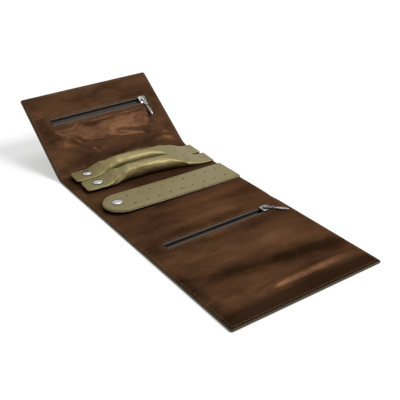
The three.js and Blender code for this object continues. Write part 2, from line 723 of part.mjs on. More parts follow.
// Ring rolls
const rollStations = 20;
const coverPoints = 20; // round each ring of the cover
const corePoints = 12;
for (const roll of rolls) {
  const along = roll.reach - rollSnapFromTip;
  const hinge = new THREE.Group();
  hinge.position.set(seamX, roll.y, liningTop + seat + rollTabThickness);
  hinge.rotation.z = rad(-roll.yaw);
  folder.add(hinge);
  const tabWide = rollSection(roll, 0).wide;
  const down = -rollTabThickness;
  const voidFrom = rollSewnTab + rollStuffingStart;
  const voidTo = roll.reach - rollTabLength - rollStuffingStart;
  const tipPlaces = [0.6, 0.87, 1].map((s) => roll.reach - rollTabCorner * (1 - s));
  const tubePlaces = spread(rollSewnTab, roll.reach - rollTabLength, rollStations);
  const outerPlaces = [creaseGap, ...tubePlaces, roll.reach - rollTabCorner, ...tipPlaces];
  const voidPlaces = spread(voidFrom, voidTo, rollStations - 2);
  const corePlaces = [voidFrom + seat, ...voidPlaces.slice(1, -1), voidTo - seat];
  const outer = rollLoft(roll, 0, outerPlaces, coverPoints, rollTabCorner);
  const inner = rollLoft(roll, rollSkin, voidPlaces, corePoints);
  const halfSeam = rollSeamWidth / 2;
  const seamSlit = block(-voidTo, -voidFrom, -halfSeam, halfSeam, -cutPast, rollSkin + 2 * cutPast);
  const shankBore = capShankRadius + shankClearance;
  const rivet = disc(-along, 0, shankBore, snapLift - cutPast, rollTabThickness + 2 * cutPast, 12);
  const cover = outer.subtract(inner).subtract(seamSlit).subtract(rivet).translate([0, 0, down]);
  const core = rollLoft(roll, rollSkin + seat, corePlaces, corePoints).translate([0, 0, down]);
  piece(hinge, `${roll.name}_cover`, cover, olive);
  piece(hinge, `${roll.name}_core`, core, felt);
  const cap = snapCap(-along, 0, snapLift + seat, rollTabThickness + 2 * seat);
  piece(hinge, `${roll.name}_snap_cap`, cap, nickel);
  piece(hinge, `${roll.name}_snap_socket`, socket(-along, 0, snapLift + down - seat), nickel);
  const end = new THREE.Group();
  end.position.copy(hinge.position);
  end.rotation.copy(hinge.rotation);
  folder.add(end);
  piece(end, `${roll.name}_sewn_end`, sewnEnd(rollTabThickness, 2 * tabWide), olive);
}

// Upper fold and flap, each turned about the lining's face at its crease
const upperFold = new THREE.Group();
upperFold.position.set(0, centreHalf, axisHeight);
upperFold.rotation.x = rad(flapAngle);
folder.add(upperFold);
const upperLayers = new THREE.Group();
upperLayers.position.z = -axisHeight;
upperFold.add(upperLayers);
const upperFoldCover = coverStretch(halfGap, upperFoldLength - halfGap, false, false);
piece(upperLayers, "upper_fold_cover", upperFoldCover, leather);
piece(upperLayers, "upper_fold_lining", liningStretch(halfGap, upperFoldLength - halfGap, [], flat), satin);

const flap = new THREE.Group();
flap.position.y = upperFoldLength;
upperLayers.add(flap);
const keepers = [-1, 1].map((side) => [side * magnetX, keeperY]);

// Lining with a pocket that reaches down from its zip, and the pocket's back layer
function pocketLining(y0, y1, zipY, pocket) {
  const near = [1, 0.75, 0.5, 0.25, 0].map((s) => zipEdge - s * zipSideSlope);
  const far = [0, 0.2, 0.4, 0.6, 0.8, 1].map((s) => s * pocket.slope - pocket.reach);
  const rows = [...far, ...near].map((a) => zipY + a);
  const inside = rows.filter((y) => y > y0 + seat && y < y1 - seat);
  const height = (x, y) => pocketHeight(pocket, x, zipY - y);
  const lining = liningStretch(y0, y1, inside, height);
  return lining.subtract(windowCut(zipY, liningBottom + pocket.depth));
}

piece(flap, "flap_cover", coverStretch(halfGap, flapLength, false, true), leather);
const flapBoard = boardStretch(0, flapLength, false, true);
piece(flap, "flap_board", drilled(flapBoard, keepers, magnetDiameter / 2 + seat), board);
keepers.forEach(([x, y], i) => {
  const keeper = disc(x, y, magnetDiameter / 2, boardBottom, magnetThickness);
  piece(flap, `closure_keeper_${i + 1}`, keeper, nickel);
});
piece(flap, "flap_lining", pocketLining(halfGap, flapLength - liningInset, flapZipY, flapPocket), satin);
piece(flap, "flap_pocket_back", pocketBack(flapZipY, flapPocket), satin);
const flapZipUnder = liningBottom + flapPocketDepth;
addZip(flap, "flap", flapZipY, flapZipUnder, flapSliderFromEnd, flapPullHeading);

// Lower fold and lower panel
const lowerFold = new THREE.Group();
lowerFold.position.set(0, -centreHalf, 0);
folder.add(lowerFold);
const lowerFoldCover = coverStretch(-lowerFoldLength + halfGap, -halfGap, false, false);
piece(lowerFold, "lower_fold_cover", lowerFoldCover, leather);
piece(lowerFold, "lower_fold_lining", liningStretch(-lowerFoldLength + halfGap, -halfGap, [], flat), satin);

const lowerPanel = new THREE.Group();
lowerPanel.position.y = -lowerFoldLength;
lowerFold.add(lowerPanel);
const magnets = [-1, 1].map((side) => [side * magnetX, -magnetY]);
piece(lowerPanel, "lower_cover", coverStretch(-lowerPanelLength, -halfGap, true, false), leather);
const lowerBoard = boardStretch(-lowerPanelLength, 0, true, false);
piece(lowerPanel, "lower_board", drilled(lowerBoard, magnets, magnetDiameter / 2 + seat), board);
magnets.forEach(([x, y], i) => {
  const magnet = disc(x, y, magnetDiameter / 2, boardBottom, magnetThickness);
  piece(lowerPanel, `closure_magnet_${i + 1}`, magnet, nickel);
});
const lowerLining = pocketLining(-lowerPanelLength + liningInset, -halfGap, -lowerZipY, lowerPocket);
piece(lowerPanel, "lower_lining", lowerLining, satin);
piece(lowerPanel, "lower_pocket_back", pocketBack(-lowerZipY, lowerPocket), satin);
const lowerZipUnder = liningBottom + lowerPocketDepth;
addZip(lowerPanel, "lower", -lowerZipY, lowerZipUnder, lowerSliderFromEnd, lowerPullHeading);

export default folder;
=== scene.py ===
# %% [markdown]
# # A jewelry folder of leather and satin
#
# The real thing is one long strip of soft leather, lined with satin and sewn round its edge. It lies open
# here: a centre panel with two padded ring rolls and an earring strap, a lower panel and a raised flap, each
# with a zip pocket. The CAD model gives every place and size; this file gives each piece its soft form and
# its finish.
#
# Nearly every surface below is a numpy grid: two parameters go in, three coordinates come out, and whole
# arrays go into the mesh at once. That keeps cloth smooth and lets one formula shape leather, satin and
# stitches so that they fit each other.

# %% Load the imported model
import bmesh
import bpy
import numpy as np
from mathutils import Matrix, Vector


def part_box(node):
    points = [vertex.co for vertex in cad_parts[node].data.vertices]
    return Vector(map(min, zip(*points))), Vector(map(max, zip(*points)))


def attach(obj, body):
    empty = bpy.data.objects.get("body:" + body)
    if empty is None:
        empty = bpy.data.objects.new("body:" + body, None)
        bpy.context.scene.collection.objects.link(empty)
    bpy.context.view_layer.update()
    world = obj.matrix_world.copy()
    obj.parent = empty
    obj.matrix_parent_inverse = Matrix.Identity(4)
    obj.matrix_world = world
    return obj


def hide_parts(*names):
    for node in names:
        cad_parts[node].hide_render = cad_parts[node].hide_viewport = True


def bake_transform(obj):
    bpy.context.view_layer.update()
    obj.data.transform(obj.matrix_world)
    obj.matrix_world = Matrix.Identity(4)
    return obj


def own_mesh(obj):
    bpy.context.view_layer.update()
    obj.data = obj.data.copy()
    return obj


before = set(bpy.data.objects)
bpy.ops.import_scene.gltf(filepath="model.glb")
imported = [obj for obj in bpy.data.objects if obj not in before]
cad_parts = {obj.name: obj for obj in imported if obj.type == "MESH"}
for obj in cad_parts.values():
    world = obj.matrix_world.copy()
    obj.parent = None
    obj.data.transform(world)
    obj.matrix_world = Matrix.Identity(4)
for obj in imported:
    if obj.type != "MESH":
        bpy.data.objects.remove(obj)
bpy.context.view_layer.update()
scene = bpy.context.scene

# %% [markdown]
# ## The camera
#
# Its place was solved from the folder's own straight edges, so the three directions below are the camera's
# right, down and forward. A lens of 63 mm on a 36 mm sensor gives the photograph's mild perspective.

# %% Camera
right = Vector((0.82852, -0.55914, -0.02983))
down = Vector((-0.28926, -0.38190, -0.87773))
forward = Vector((0.47939, 0.73582, -0.47817))
stand = Vector((-0.37067, -0.66198, 0.39084))
camera = bpy.data.objects.new("camera", bpy.data.cameras.new("camera"))
camera.data.sensor_width = 36.0
camera.data.lens = 63.26
turn = Matrix((right, -down, -forward)).transposed()
camera.matrix_world = Matrix.Translation(stand) @ turn.to_4x4()
scene.collection.objects.link(camera)
scene.camera = camera
print("camera at", tuple(round(v, 3) for v in stand))

# %% [markdown]
# ## Helpers for materials
#
# Colours are picked as sRGB hex values, the way a paint program shows them. Shaders work in linear light, so
# one function converts them. A second one adds a node with its settings, and links every input that is given
# a socket. The others start a material and add the few patterns that the materials below share.

# %% Colour and node helpers
def colour(code):
    """The sRGB value of each channel, undone to linear light, with full alpha."""
    srgb = np.array([int(code[i:i + 2], 16) for i in (1, 3, 5)]) / 255
    linear = np.where(srgb <= 0.04045, srgb / 12.92, ((srgb + 0.055) / 1.055) ** 2.4)
    return (*linear.tolist(), 1.0)


def add_node(tree, kind, inputs=None, **settings):
    """A new node: settings are its properties, and an input takes a value or another node's socket."""
    node = tree.nodes.new(kind)
    for key, value in settings.items():
        setattr(node, key, value)
    for key, value in (inputs or {}).items():
        if isinstance(value, bpy.types.NodeSocket):
            tree.links.new(value, node.inputs[key])
        else:
            node.inputs[key].default_value = value
    return node


def new_material(name, **inputs):
    """A material whose shader gets plain values; returns it with its tree and its shader."""
    material = bpy.data.materials.new(name)
    material.use_nodes = True
    tree = material.node_tree
    shader = tree.nodes["Principled BSDF"]
    for key, value in inputs.items():
        shader.inputs[key.replace("_", " ").title().replace("Ior", "IOR")].default_value = value
    return material, tree, shader


def remap(tree, value, start=0.0, end=1.0, low=0.0, high=1.0):
    """Runs from low to high while value runs from start to end, and stays there beyond."""
    return add_node(tree, "ShaderNodeMapRange", {"Value": value, "From Min": start, "From Max": end,
                                                 "To Min": low, "To Max": high}).outputs[0]


def between(tree, share, a, b):
    """The value that lies the given share of the way from a to b."""
    return add_node(tree, "ShaderNodeMix", {0: share, 2: a, 3: b}).outputs[0]


def noise(tree, where, size, detail=2.0, distortion=0.0):
    """Smooth noise whose spots are about size metres apart."""
    return add_node(tree, "ShaderNodeTexNoise", {"Vector": where, "Scale": 1 / size, "Detail": detail,
                                                 "Distortion": distortion}).outputs[0]


def maths(tree, operation, a, b, **settings):
    """One operation on two values."""
    return add_node(tree, "ShaderNodeMath", {0: a, 1: b}, operation=operation, **settings).outputs[0]


def two_tones(tree, shader, share, dark, light):
    """The base colour runs from dark to light with share."""
    mix = add_node(tree, "ShaderNodeMix", {0: share, 6: dark, 7: light}, data_type="RGBA")
    tree.links.new(mix.outputs[2], shader.inputs["Base Color"])


def relief(tree, shader, *layers):
    """Bumps on top of one another; each is a height, a strength and a distance in metres."""
    below = {}
    for height, strength, distance in layers:
        bump = add_node(tree, "ShaderNodeBump", {"Height": height, "Strength": strength,
                                                 "Distance": distance, **below})
        below = {"Normal": bump.outputs[0]}
    tree.links.new(below["Normal"], shader.inputs["Normal"])


# %% [markdown]
# ## Floor, world and lamps
#
# A plain white studio: the floor is matt and pale, and a little glow that only the camera and reflections see
# brings it up to white, so the folder keeps its soft shadow. Far from the lamps the floor gets less light, so
# the glow grows with the distance from the folder. The main lamp is a softbox, high at the right and a little
# in front: folds that face it shine. A weaker one of the same size hangs above and a little behind.

# %% Stage
def seen_directly(tree):
    """1 for rays from the camera, mirrored ones too, and 0 for light that falls on things."""
    path = add_node(tree, "ShaderNodeLightPath")
    seen = path.outputs["Is Camera Ray"]
    for ray in ("Is Glossy Ray", "Is Transmission Ray"):
        seen = maths(tree, "MAXIMUM", seen, path.outputs[ray])
    return seen


white = (1, 1, 1, 1)
floor_material, tree, shader = new_material("painted_floor", base_color=colour("#f4f4f4"), roughness=0.9,
                                            specular_ior_level=0.0, emission_color=white)
where = add_node(tree, "ShaderNodeTexCoord").outputs["Object"]
away = add_node(tree, "ShaderNodeVectorMath", {0: where}, operation="LENGTH").outputs["Value"]
glow = maths(tree, "MULTIPLY", seen_directly(tree), remap(tree, away, 0.3, 1.3, 0.5, 0.9))
tree.links.new(glow, shader.inputs["Emission Strength"])
bpy.ops.mesh.primitive_plane_add(size=8, location=(0, 0, -0.0002))
floor = bpy.context.object
floor.name = "floor"
floor.data.materials.append(floor_material)

world = bpy.data.worlds.new("studio")
world.use_nodes = True
tree = world.node_tree
background = tree.nodes["Background"].inputs
background["Color"].default_value = white
tree.links.new(remap(tree, seen_directly(tree), low=0.13), background["Strength"])
scene.world = world
scene.view_settings.view_transform = "Standard"


def softbox(name, place, power):
    """A square lamp at place, facing the folder; its face is as long as the folder, so shadows are soft."""
    lamp = bpy.data.lights.new(name, "AREA")
    lamp.shape = "SQUARE"
    lamp.size = 0.7
    lamp.energy = power
    box = bpy.data.objects.new(name, lamp)
    box.location = place
    box.rotation_mode = "QUATERNION"
    box.rotation_quaternion = (-Vector(place)).to_track_quat("-Z", "Y")
    scene.collection.objects.link(box)


softbox("key_softbox", (0.83, -0.95, 1.55), power=18.5)
softbox("top_softbox", (0.3, 0.3, 1.15), power=2.8)
print("stage ready")

# %% [markdown]
# ## The strip's own coordinates
#
# On the cutting table the folder is a flat strip. A point of it has x across, s along (0 at the middle of the
# centre panel) and h, its height above the leather's outer face. One function bends the strip up at the
# flap: it walks along the strip and turns by 37 degrees over a short curve. Leather, satin and stitches are
# all drawn on the flat strip and go through it, so they stay together. Lengths are in millimetres until the
# mesh is made.

# %% From the flat strip to its place
half_width = 92.0
free_edge, flap_edge = -276.0, 207.0
upper_crease, flap_crease = 82.0, 113.0
lower_crease, panel_crease = -82.0, -118.0
lining_top = 3.1
lining_thickness = 0.5
flap_angle = np.radians(37.0)
bend_half = 9.0
valley_s, valley_half, valley_press = -104.0, 8.5, 0.42
tiny = 1e-9


def rise(t):
    """A soft step from 0 to 1: three t squared less two t cubed."""
    t = np.clip(t, 0.0, 1.0)
    return t * t * (3 - 2 * t)


def bell(t):
    """A soft bump: 1 at t = 0, and next to nothing beyond 2 on either side."""
    return np.exp(-t ** 2)


bend_s = np.linspace(upper_crease - bend_half, upper_crease + bend_half, 181)
bend_turn = flap_angle * rise((bend_s - bend_s[0]) / (2 * bend_half))
middle = (bend_turn[1:] + bend_turn[:-1]) / 2
walk = np.array([np.r_[0, np.cumsum(part(middle) * np.diff(bend_s))] for part in (np.cos, np.sin)])
corner = bend_half * np.array([1 + np.cos(flap_angle), np.sin(flap_angle)])
walk *= np.linalg.norm(corner) / np.linalg.norm(walk[:, -1])
beyond = 400.0
straight = beyond - upper_crease
far_s = np.array([-beyond, *bend_s, beyond])
far_y = np.array([-beyond, *(bend_s[0] + walk[0]), upper_crease + straight * np.cos(flap_angle)])
far_z = np.array([0.0, *walk[1], straight * np.sin(flap_angle)])
far_turn = np.array([0.0, *bend_turn, flap_angle])


def valley(s):
    """Share of its thickness that the strip keeps: it presses flat in the fold below the centre panel."""
    return 1 - valley_press * bell((s - valley_s) / valley_half)


def place(x, s, h):
    """Walks to s along the bent middle line, then h from the lining's face along the line's normal."""
    across = h * valley(s) - lining_top
    turned = np.interp(s, far_s, far_turn)
    y = np.interp(s, far_s, far_y) - across * np.sin(turned)
    z = np.interp(s, far_s, far_z) + lining_top + across * np.cos(turned)
    return np.stack(np.broadcast_arrays(x, y, z), axis=-1)


print("flap edge at", place(0.0, flap_edge, 0.0).round(1))

# %% [markdown]
# ## Meshes from grids
#
# A sheet of cloth has a top and a bottom. Both are grids with the same cells, and cells can be left out for
# a window. Walls join the two wherever a cell has no neighbour, so the sheet is always closed. The strip's
# own x and s are kept as a UV map in metres, and the weave follows them.

# %% Grid helpers
def stations(start, end, step, fixed=()):
    """Sorted values from start to end, evenly spread by about step between the fixed ones."""
    marks = sorted({start, end, *[f for f in fixed if start < f < end]})
    counts = [max(1, int(np.ceil((b - a) / step))) for a, b in zip(marks, marks[1:])]
    parts = [np.linspace(a, b, count + 1)[:-1] for a, b, count in zip(marks, marks[1:], counts)]
    return np.r_[np.concatenate(parts), end]


def both_sides(distances):
    """Each distance from the middle line, to the left and to the right."""
    return [side * d for d in distances for side in (-1, 1)]


def cells_inside(values, centres, half):
    """Which cells between the sorted values have their middle within half of one of the centres."""
    middle = (values[1:] + values[:-1]) / 2
    return np.any([np.abs(middle - centre) < half for centre in centres], axis=0)


def placed(name, mesh, material=None):
    """The mesh as an object of the scene, with its material."""
    piece = bpy.data.objects.new(name, mesh)
    scene.collection.objects.link(piece)
    if material:
        mesh.materials.append(material)
    return piece


def make_piece(name, points, faces, uv=None, material=None, flat_from=None):
    """Puts whole arrays into a mesh: points in millimetres, faces as equal rows, uv per point in metres."""
    mesh = bpy.data.meshes.new(name)
    faces = np.asarray(faces)
    mesh.vertices.add(len(points))
    mesh.vertices.foreach_set("co", (np.asarray(points) * 0.001).ravel())
    mesh.loops.add(faces.size)
    mesh.loops.foreach_set("vertex_index", faces.ravel())
    mesh.polygons.add(len(faces))
    mesh.polygons.foreach_set("loop_start", np.arange(0, faces.size, faces.shape[1]))
    mesh.polygons.foreach_set("loop_total", np.full(len(faces), faces.shape[1]))
    mesh.update(calc_edges=True)
    smooth = np.ones(len(faces), dtype=bool)
    if flat_from is not None:
        smooth[flat_from:] = False
    mesh.polygons.foreach_set("use_smooth", smooth)
    if uv is not None:
        layer = mesh.uv_layers.new(name="UVMap")
        layer.data.foreach_set("uv", np.asarray(uv)[faces.ravel()].ravel())
    mesh.validate()
    return placed(name, mesh, material)


def closed_sheet(top, bottom, keep=None):
    """Points and faces of a closed sheet between two grids: rows run along s and columns along x."""
    rows, columns = top.shape[:2]
    keep = np.ones((rows - 1, columns - 1), bool) if keep is None else keep
    index = np.arange(rows * columns).reshape(rows, columns)
    under = index + rows * columns

    def quads(a, b, c, d, chosen):
        return np.stack([a[chosen], b[chosen], c[chosen], d[chosen]], axis=-1)

    corners = index[:-1, :-1], index[:-1, 1:], index[1:, 1:], index[1:, :-1]
    faces = [quads(*corners, keep)]
    faces.append(quads(*[c + rows * columns for c in reversed(corners)], keep))
    padded = np.pad(keep, 1)
    low, high = padded[:-1, 1:-1], padded[1:, 1:-1]
    a, b, c, d = under[:, :-1], under[:, 1:], index[:, 1:], index[:, :-1]
    walls = [quads(a, b, c, d, high & ~low), quads(b, a, d, c, low & ~high)]
    left, right_side = padded[1:-1, :-1], padded[1:-1, 1:]
    a, b, c, d = under[1:], under[:-1], index[:-1], index[1:]
    walls += [quads(a, b, c, d, right_side & ~left), quads(b, a, d, c, left & ~right_side)]
    points = np.concatenate([top.reshape(-1, 3), bottom.reshape(-1, 3)])
    flat_from = sum(len(f) for f in faces)
    faces = np.concatenate(faces + walls)
    used, faces = np.unique(faces, return_inverse=True)
    return points[used], faces.reshape(-1, 4), used % (rows * columns), flat_from


def cloth_piece(name, x, s, top, bottom, material, keep=None):
    """A closed sheet between two heights on the strip, with its UV map, and the grid points that it uses."""
    points, faces, used, walls = closed_sheet(place(x, s, top), place(x, s, bottom), keep)
    uv = np.stack([x.ravel(), s.ravel()], axis=-1)[used] * 0.001
    return make_piece(name, points, faces, uv, material, walls), used


def tell(piece):
    """Prints what was made."""
    print(piece.name, len(piece.data.polygons), "faces")


def round_corners(x, s, low, high, radius):
    """Square corners of a grid, drawn in: in each corner the square's rings become circles."""
    px = np.maximum(np.abs(x) - (half_width - radius), 0)
    ps = np.maximum(np.maximum(low + radius - s, s - (high - radius)), 0)
    length = np.hypot(px, ps)
    share = np.where(length > 0, np.maximum(px, ps) / np.maximum(length, tiny), 1)
    side = np.where(s > (low + high) / 2, 1, -1)
    return x + np.sign(x) * px * (share - 1), s + side * ps * (share - 1)


# %% [markdown]
# ## Leather
#
# The folder's outside and the straps are thin goatskin with an olive finish; that of the straps has some
# metal in it. The skin has a fine pebble, about half a millimetre, and its finish catches light like soft
# wax. So the shader stays mostly rough, on the straps under a thin coat, the bump comes from a cell pattern,
# and broad noise makes the colour wander from olive to sand as handled leather does.

# %% Olive leather
def olive_leather(name, dark, light, grain_mm, roughness, metal=0.0, coat=0.06):
    """Two noise patterns choose between two tones; cells of grain_mm give the pebble."""
    material, tree, shader = new_material(name, roughness=roughness, metallic=metal, specular_ior_level=0.25,
                                          coat_weight=coat, coat_roughness=0.3)
    where = add_node(tree, "ShaderNodeTexCoord").outputs["Object"]
    tone = between(tree, 0.35, noise(tree, where, 0.022, 3.0), noise(tree, where, 0.0012))
    two_tones(tree, shader, tone, colour(dark), colour(light))
    pebble = add_node(tree, "ShaderNodeTexVoronoi", {"Vector": where, "Scale": 1000 / grain_mm})
    relief(tree, shader, (pebble.outputs["Distance"], 0.25, 0.00012),
           (noise(tree, where, 0.004, 4.0), 0.3, 0.0004))
    return material


cover_leather = olive_leather("olive_goatskin_outside", "#3f3a27", "#585138", 0.7, roughness=0.55, coat=0.0)
strap_leather = olive_leather("olive_goatskin_strap", "#7b6f47", "#978a5c", 0.55, roughness=0.4, metal=0.45)
pale_split = olive_leather("pale_split_leather", "#a39a7c", "#c2ba9c", 0.9, roughness=0.7)
bonded_board = olive_leather("bonded_leather_board", "#9a8b72", "#b3a68d", 1.3, roughness=0.85, coat=0.0)
print("leather:", cover_leather.name, strap_leather.name)

# %% [markdown]
# ## Satin
#
# The lining is a brown satin. Long floats of bright yarn lie on its face, so it is dark where it faces away
# from the light and copper where it turns towards it. A slightly metallic shader without any clear reflection
# on top gives that: its highlight has the yarn's colour, not white. The floats run across the folder, which a
# fine streaked noise shows, and crumples of a centimetre or two break up the highlights. Towards the free
# edge shade is painted into the colour, and an attribute adds bands of painted shade and painted highlight
# that are drawn with the lining.

# %% Brown satin
def satin(name, dark, light, roughness=0.24, metallic=0.15):
    """Colour and bump from noise that is stretched along the floats, on the strip's own x and s."""
    material, tree, shader = new_material(name, roughness=roughness, metallic=metallic,
                                          specular_ior_level=0.0, specular_tint=colour("#dcbca2"))
    where = add_node(tree, "ShaderNodeUVMap", uv_map="UVMap").outputs["UV"]
    stretched = [add_node(tree, "ShaderNodeMapping", {"Vector": where, "Scale": (across, 1.0, 1.0)})
                 for across in (0.12, 0.5)]
    floats, crumple = [node.outputs[0] for node in stretched]
    streak = noise(tree, floats, 0.0011)
    folds = noise(tree, crumple, 0.016, 3.0, 0.8)
    tone = between(tree, 0.5, between(tree, 0.4, folds, streak), noise(tree, crumple, 0.045, 1.0))
    along = add_node(tree, "ShaderNodeSeparateXYZ", {0: where}).outputs[1]
    # Painted shade: the colour darkens over the last few millimetres towards the free edge.
    painted_edge_shade = remap(tree, along, -0.261, -0.252, 0.15, 1.0)
    # Painted shade and painted highlight: bands drawn with the lining darken or lighten the colour.
    painted_light = add_node(tree, "ShaderNodeAttribute", attribute_name="painted_light").outputs["Fac"]
    tone = maths(tree, "MULTIPLY", remap(tree, tone, 0.3, 0.7), painted_edge_shade)
    tone = maths(tree, "ADD", tone, painted_light, use_clamp=True)
    two_tones(tree, shader, tone, colour(dark), colour(light))
    relief(tree, shader, (folds, 0.5, 0.002), (streak, 0.25, 0.0001))
    return material


lining_satin = satin("brown_satin", "#2f1f15", "#724f37")
pocket_cotton = satin("taupe_pocket_cotton", "#574d47", "#6c615a", roughness=0.85, metallic=0.0)
print("satin:", lining_satin.name)

# %% [markdown]
# ## The leather cover
#
# One piece of goatskin, 1.1 mm thick, with its edge turned over and glued: that is why its rim is thicker.
# In code it is a sheet between two heights that depend only on the distance to the edge, so the rim rounds
# itself all the way round, corners included. It is cut in four, each part round one crease. A hair-wide first
# row gives both sides of a cut the same normals, so the cut doesn't show.

# %% Cover
cover_thickness, rim_top, rim_radius = 1.1, 2.3, 1.15
turned_width, turned_slope = 7.6, 0.8
edge_half = 0.08
corner_radius = 3.0
hair = 0.04


def rounded(t):
    """Runs from 0 to 1 along a quarter circle, steep at first."""
    return np.sqrt(1 - (1 - np.clip(t, 0, 1)) ** 2)


def edge_distance(x, s):
    """How far a point of the flat strip is from the nearest outer edge."""
    return np.minimum(half_width - np.abs(x), np.minimum(s - free_edge, flap_edge - s))


def cover_part(name, s0, s1):
    """Both faces from the distance to the edge: a half round rim, then a step down to the single skin."""
    near_edge = [0.0, 0.03, 0.12, 0.3, 0.6, 0.9, rim_radius, 2.5, 5.0, turned_width,
                 turned_width + turned_slope]
    xs = stations(-half_width, half_width, 6.0, both_sides(half_width - d for d in near_edge))
    rows = [s0 + hair, s1 - hair] + [free_edge + d for d in near_edge] + [flap_edge - d for d in near_edge]
    x, s = np.meshgrid(xs, stations(s0, s1, 2.0, rows))
    edge = edge_distance(x, s)
    x, s = round_corners(x, s, free_edge, flap_edge, corner_radius)
    half = edge_half + (rim_radius - edge_half) * rounded(edge / rim_radius)
    step = (rim_top - cover_thickness) * rise((edge - turned_width) / turned_slope)
    piece, _ = cloth_piece(name, x, s, rim_radius + half - step, rim_radius - half, cover_leather)
    return piece


def crease_ends(s, reach=5.0):
    """The two points, in metres, between which a crease bends the cloth."""
    return [tuple(place(0.0, s + side * reach, lining_top) * 0.001) for side in (-1, 1)]


split_centre = -23.3
split_upper, split_lower = 97.5, -100.0
spans = {
    "upper": (split_centre, split_upper, upper_crease, "centre_panel", "upper_fold"),
    "flap": (split_upper, flap_edge, flap_crease, "upper_fold", "flap"),
    "lower": (split_lower, split_centre, lower_crease, "centre_panel", "lower_fold"),
    "panel": (free_edge, split_lower, panel_crease, "lower_fold", "lower_panel"),
}
cad_covers = {"upper": ["centre_cover", "upper_fold_cover"], "flap": ["flap_cover"],
              "lower": ["lower_fold_cover"], "panel": ["lower_cover"]}


def follow(piece, part):
    """Bakes the piece's place into its mesh; the ends of its part's crease are found, but not used."""
    *_, at, inner, outer = spans[part]
    start, end = crease_ends(at)
    if at < 0:
        start, end = end, start
    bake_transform(piece)


for part, (s0, s1, *_) in spans.items():
    leather = cover_part(f"leather_cover_{part}", s0, s1)
    follow(leather, part)
    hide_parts(*cad_covers[part])
    tell(leather)

# %% [markdown]
# ## The satin lining
#
# Satin is sewn in a little loose, so it lies in soft folds, and over each pocket it stands away from the
# panel. The height of its face is a sum: the pocket's swell, folds that are ridges along short lines, a slack
# that fades towards the sewn edge, and waves. Between the straps it has to stay low, so there the waves are
# small. It is one thin closed sheet, with a window cut out for each zip.

# %% Height of the lining
zips = {"flap": 159.5, "panel": -132.5}
window_x = (-70.0, 71.0)
window_half = 6.0
pockets = {"flap": (6.2, 40.0, 33.0), "panel": (4.8, 58.0, 44.0)}
zip_slope = 5.0
zip_edge = 8.5 + zip_slope
hem, hem_slope = 4.5, 12.0


def pocket_swell(part, x, s):
    """Depth times soft steps from the sides, the far end and the zip; far off the sides are gentler."""
    depth, reach, slope = pockets[part]
    across = zips[part] - s
    side = (half_width - np.abs(x) - 0.8) / (16.0 + 24.0 * rise((across - 9) / 22))
    return depth * rise(side) * rise((reach - across) / slope) * rise((across + zip_edge) / zip_slope)


def ridge(x, s, line):
    """A fold along a line from (x0, s0) to (x1, s1): a bell across it, of given width, with tapered ends."""
    x0, s0, x1, s1, width, height = line
    length = np.hypot(x1 - x0, s1 - s0)
    ux, us = (x1 - x0) / length, (s1 - s0) / length
    along = (x - x0) * ux + (s - s0) * us
    across = (s - s0) * ux - (x - x0) * us
    taper = np.maximum(3 * width, 0.4 * length)
    ends = rise((along + 2 * width) / taper) * rise((length - along + 2 * width) / taper)
    return height * ends * bell(across / width)


def waves(x, s, count, longest, seed):
    """A sum of plane waves whose directions lean across the strip, scaled to about one at most."""
    random = np.random.default_rng(seed)
    total = np.zeros(np.broadcast(x, s).shape)
    for _ in range(count):
        length = longest * random.uniform(0.35, 1.0)
        lean = random.normal(0, 0.5)
        phase = random.uniform(0, 2 * np.pi)
        total = total + np.sin(2 * np.pi * (s * np.cos(lean) + x * np.sin(lean)) / length + phase)
    return total / np.sqrt(count)


folds = [
    (-84, 90, -47, 92, 1.3, 1.5), (-40, 93, 50, 94.5, 1.6, 0.7), (-50, 129, -28, 111, 5.0, 1.7),
    (-30, 148, 16, 149, 4.5, 1.6), (14, 125, 46, 117, 4.5, 1.5), (60, 127, 76, 113, 4.0, 1.4),
    (70, 110, 84, 107, 1.8, 0.9), (66, 103, 82, 98, 1.8, 0.8), (-86, 159, -76, 157, 2.2, 0.8),
    (-83, 149, -70, 146, 2.2, 0.9), (-82, 138, -66, 137, 2.4, 0.9), (12, 150, 66, 149, 4.0, 1.4),
    (-46, -248, 86, -250.5, 4.4, 4.4), (30, -98.5, 72, -98.5, 2.2, 2.0), (-30, -104, 20, -101, 3.0, 0.6),
    (-60, -110, -20, -107, 3.0, 0.6), (58, -128, 88, -136, 2.4, 0.4), (-84, -150, -60, -146, 3.0, 0.8),
    (0, -230, 60, -234, 6.0, 1.0), (-75, -240, -30, -236, 5.0, 1.0), (-20, -170, 60, -174, 7.0, 1.6),
]
hollows = [
    (-61, -195, -11, -212, 9.0, -1.7), (8, -214, 84, -224, 10.0, -1.0), (-34, -141, 28, -153, 5.0, -1.2),
    (-10, -240, 84, -241, 3.4, -0.5), (20, -262, 80, -262, 3.0, -0.5), (-70, -168, -10, -176, 7.0, -1.1),
    (10, -172, 70, -164, 7.0, -0.9),
]


def window_gap(x, s, at):
    """How far a point is outside the window of the zip at s = at; it is negative inside."""
    return np.maximum(np.maximum(window_x[0] - x, x - window_x[1]), np.abs(s - at) - window_half)


def lining_height(x, s):
    """The swell, the slack, the folds and the waves, added up and kept above the panel's boards."""
    inside = np.clip((edge_distance(x, s) - hem) / hem_slope, 0, 1)
    loose_flap = rise((s - 86) / 8) * rise((flap_edge - s) / 20)
    loose_panel = rise((-92 - s) / 14)
    loose = np.maximum(np.maximum(loose_flap, loose_panel), 0.12)
    swell = pocket_swell("flap", x, s) + pocket_swell("panel", x, s)
    slack = 1.5 * rise((-196 - s) / 24) * rise(inside)
    near_zip = np.prod([rise((window_gap(x, s, at) - 1.0) / 4.0) for at in zips.values()], axis=0)
    folded = sum(ridge(x, s, line) for line in folds + hollows)
    wavy = 0.36 * waves(x, s, 9, 60.0, 5) + 0.03 * waves(x, s, 12, 15.0, 8)
    soft = (folded + wavy * loose) * rise(inside) * near_zip
    total = swell + slack + soft
    return lining_top + np.where(total > 0, total, total * 0.15)


sample = np.meshgrid(np.linspace(-90, 90, 91), np.linspace(-270, 200, 236))
print("lining rises to", lining_height(*sample).max().round(1))
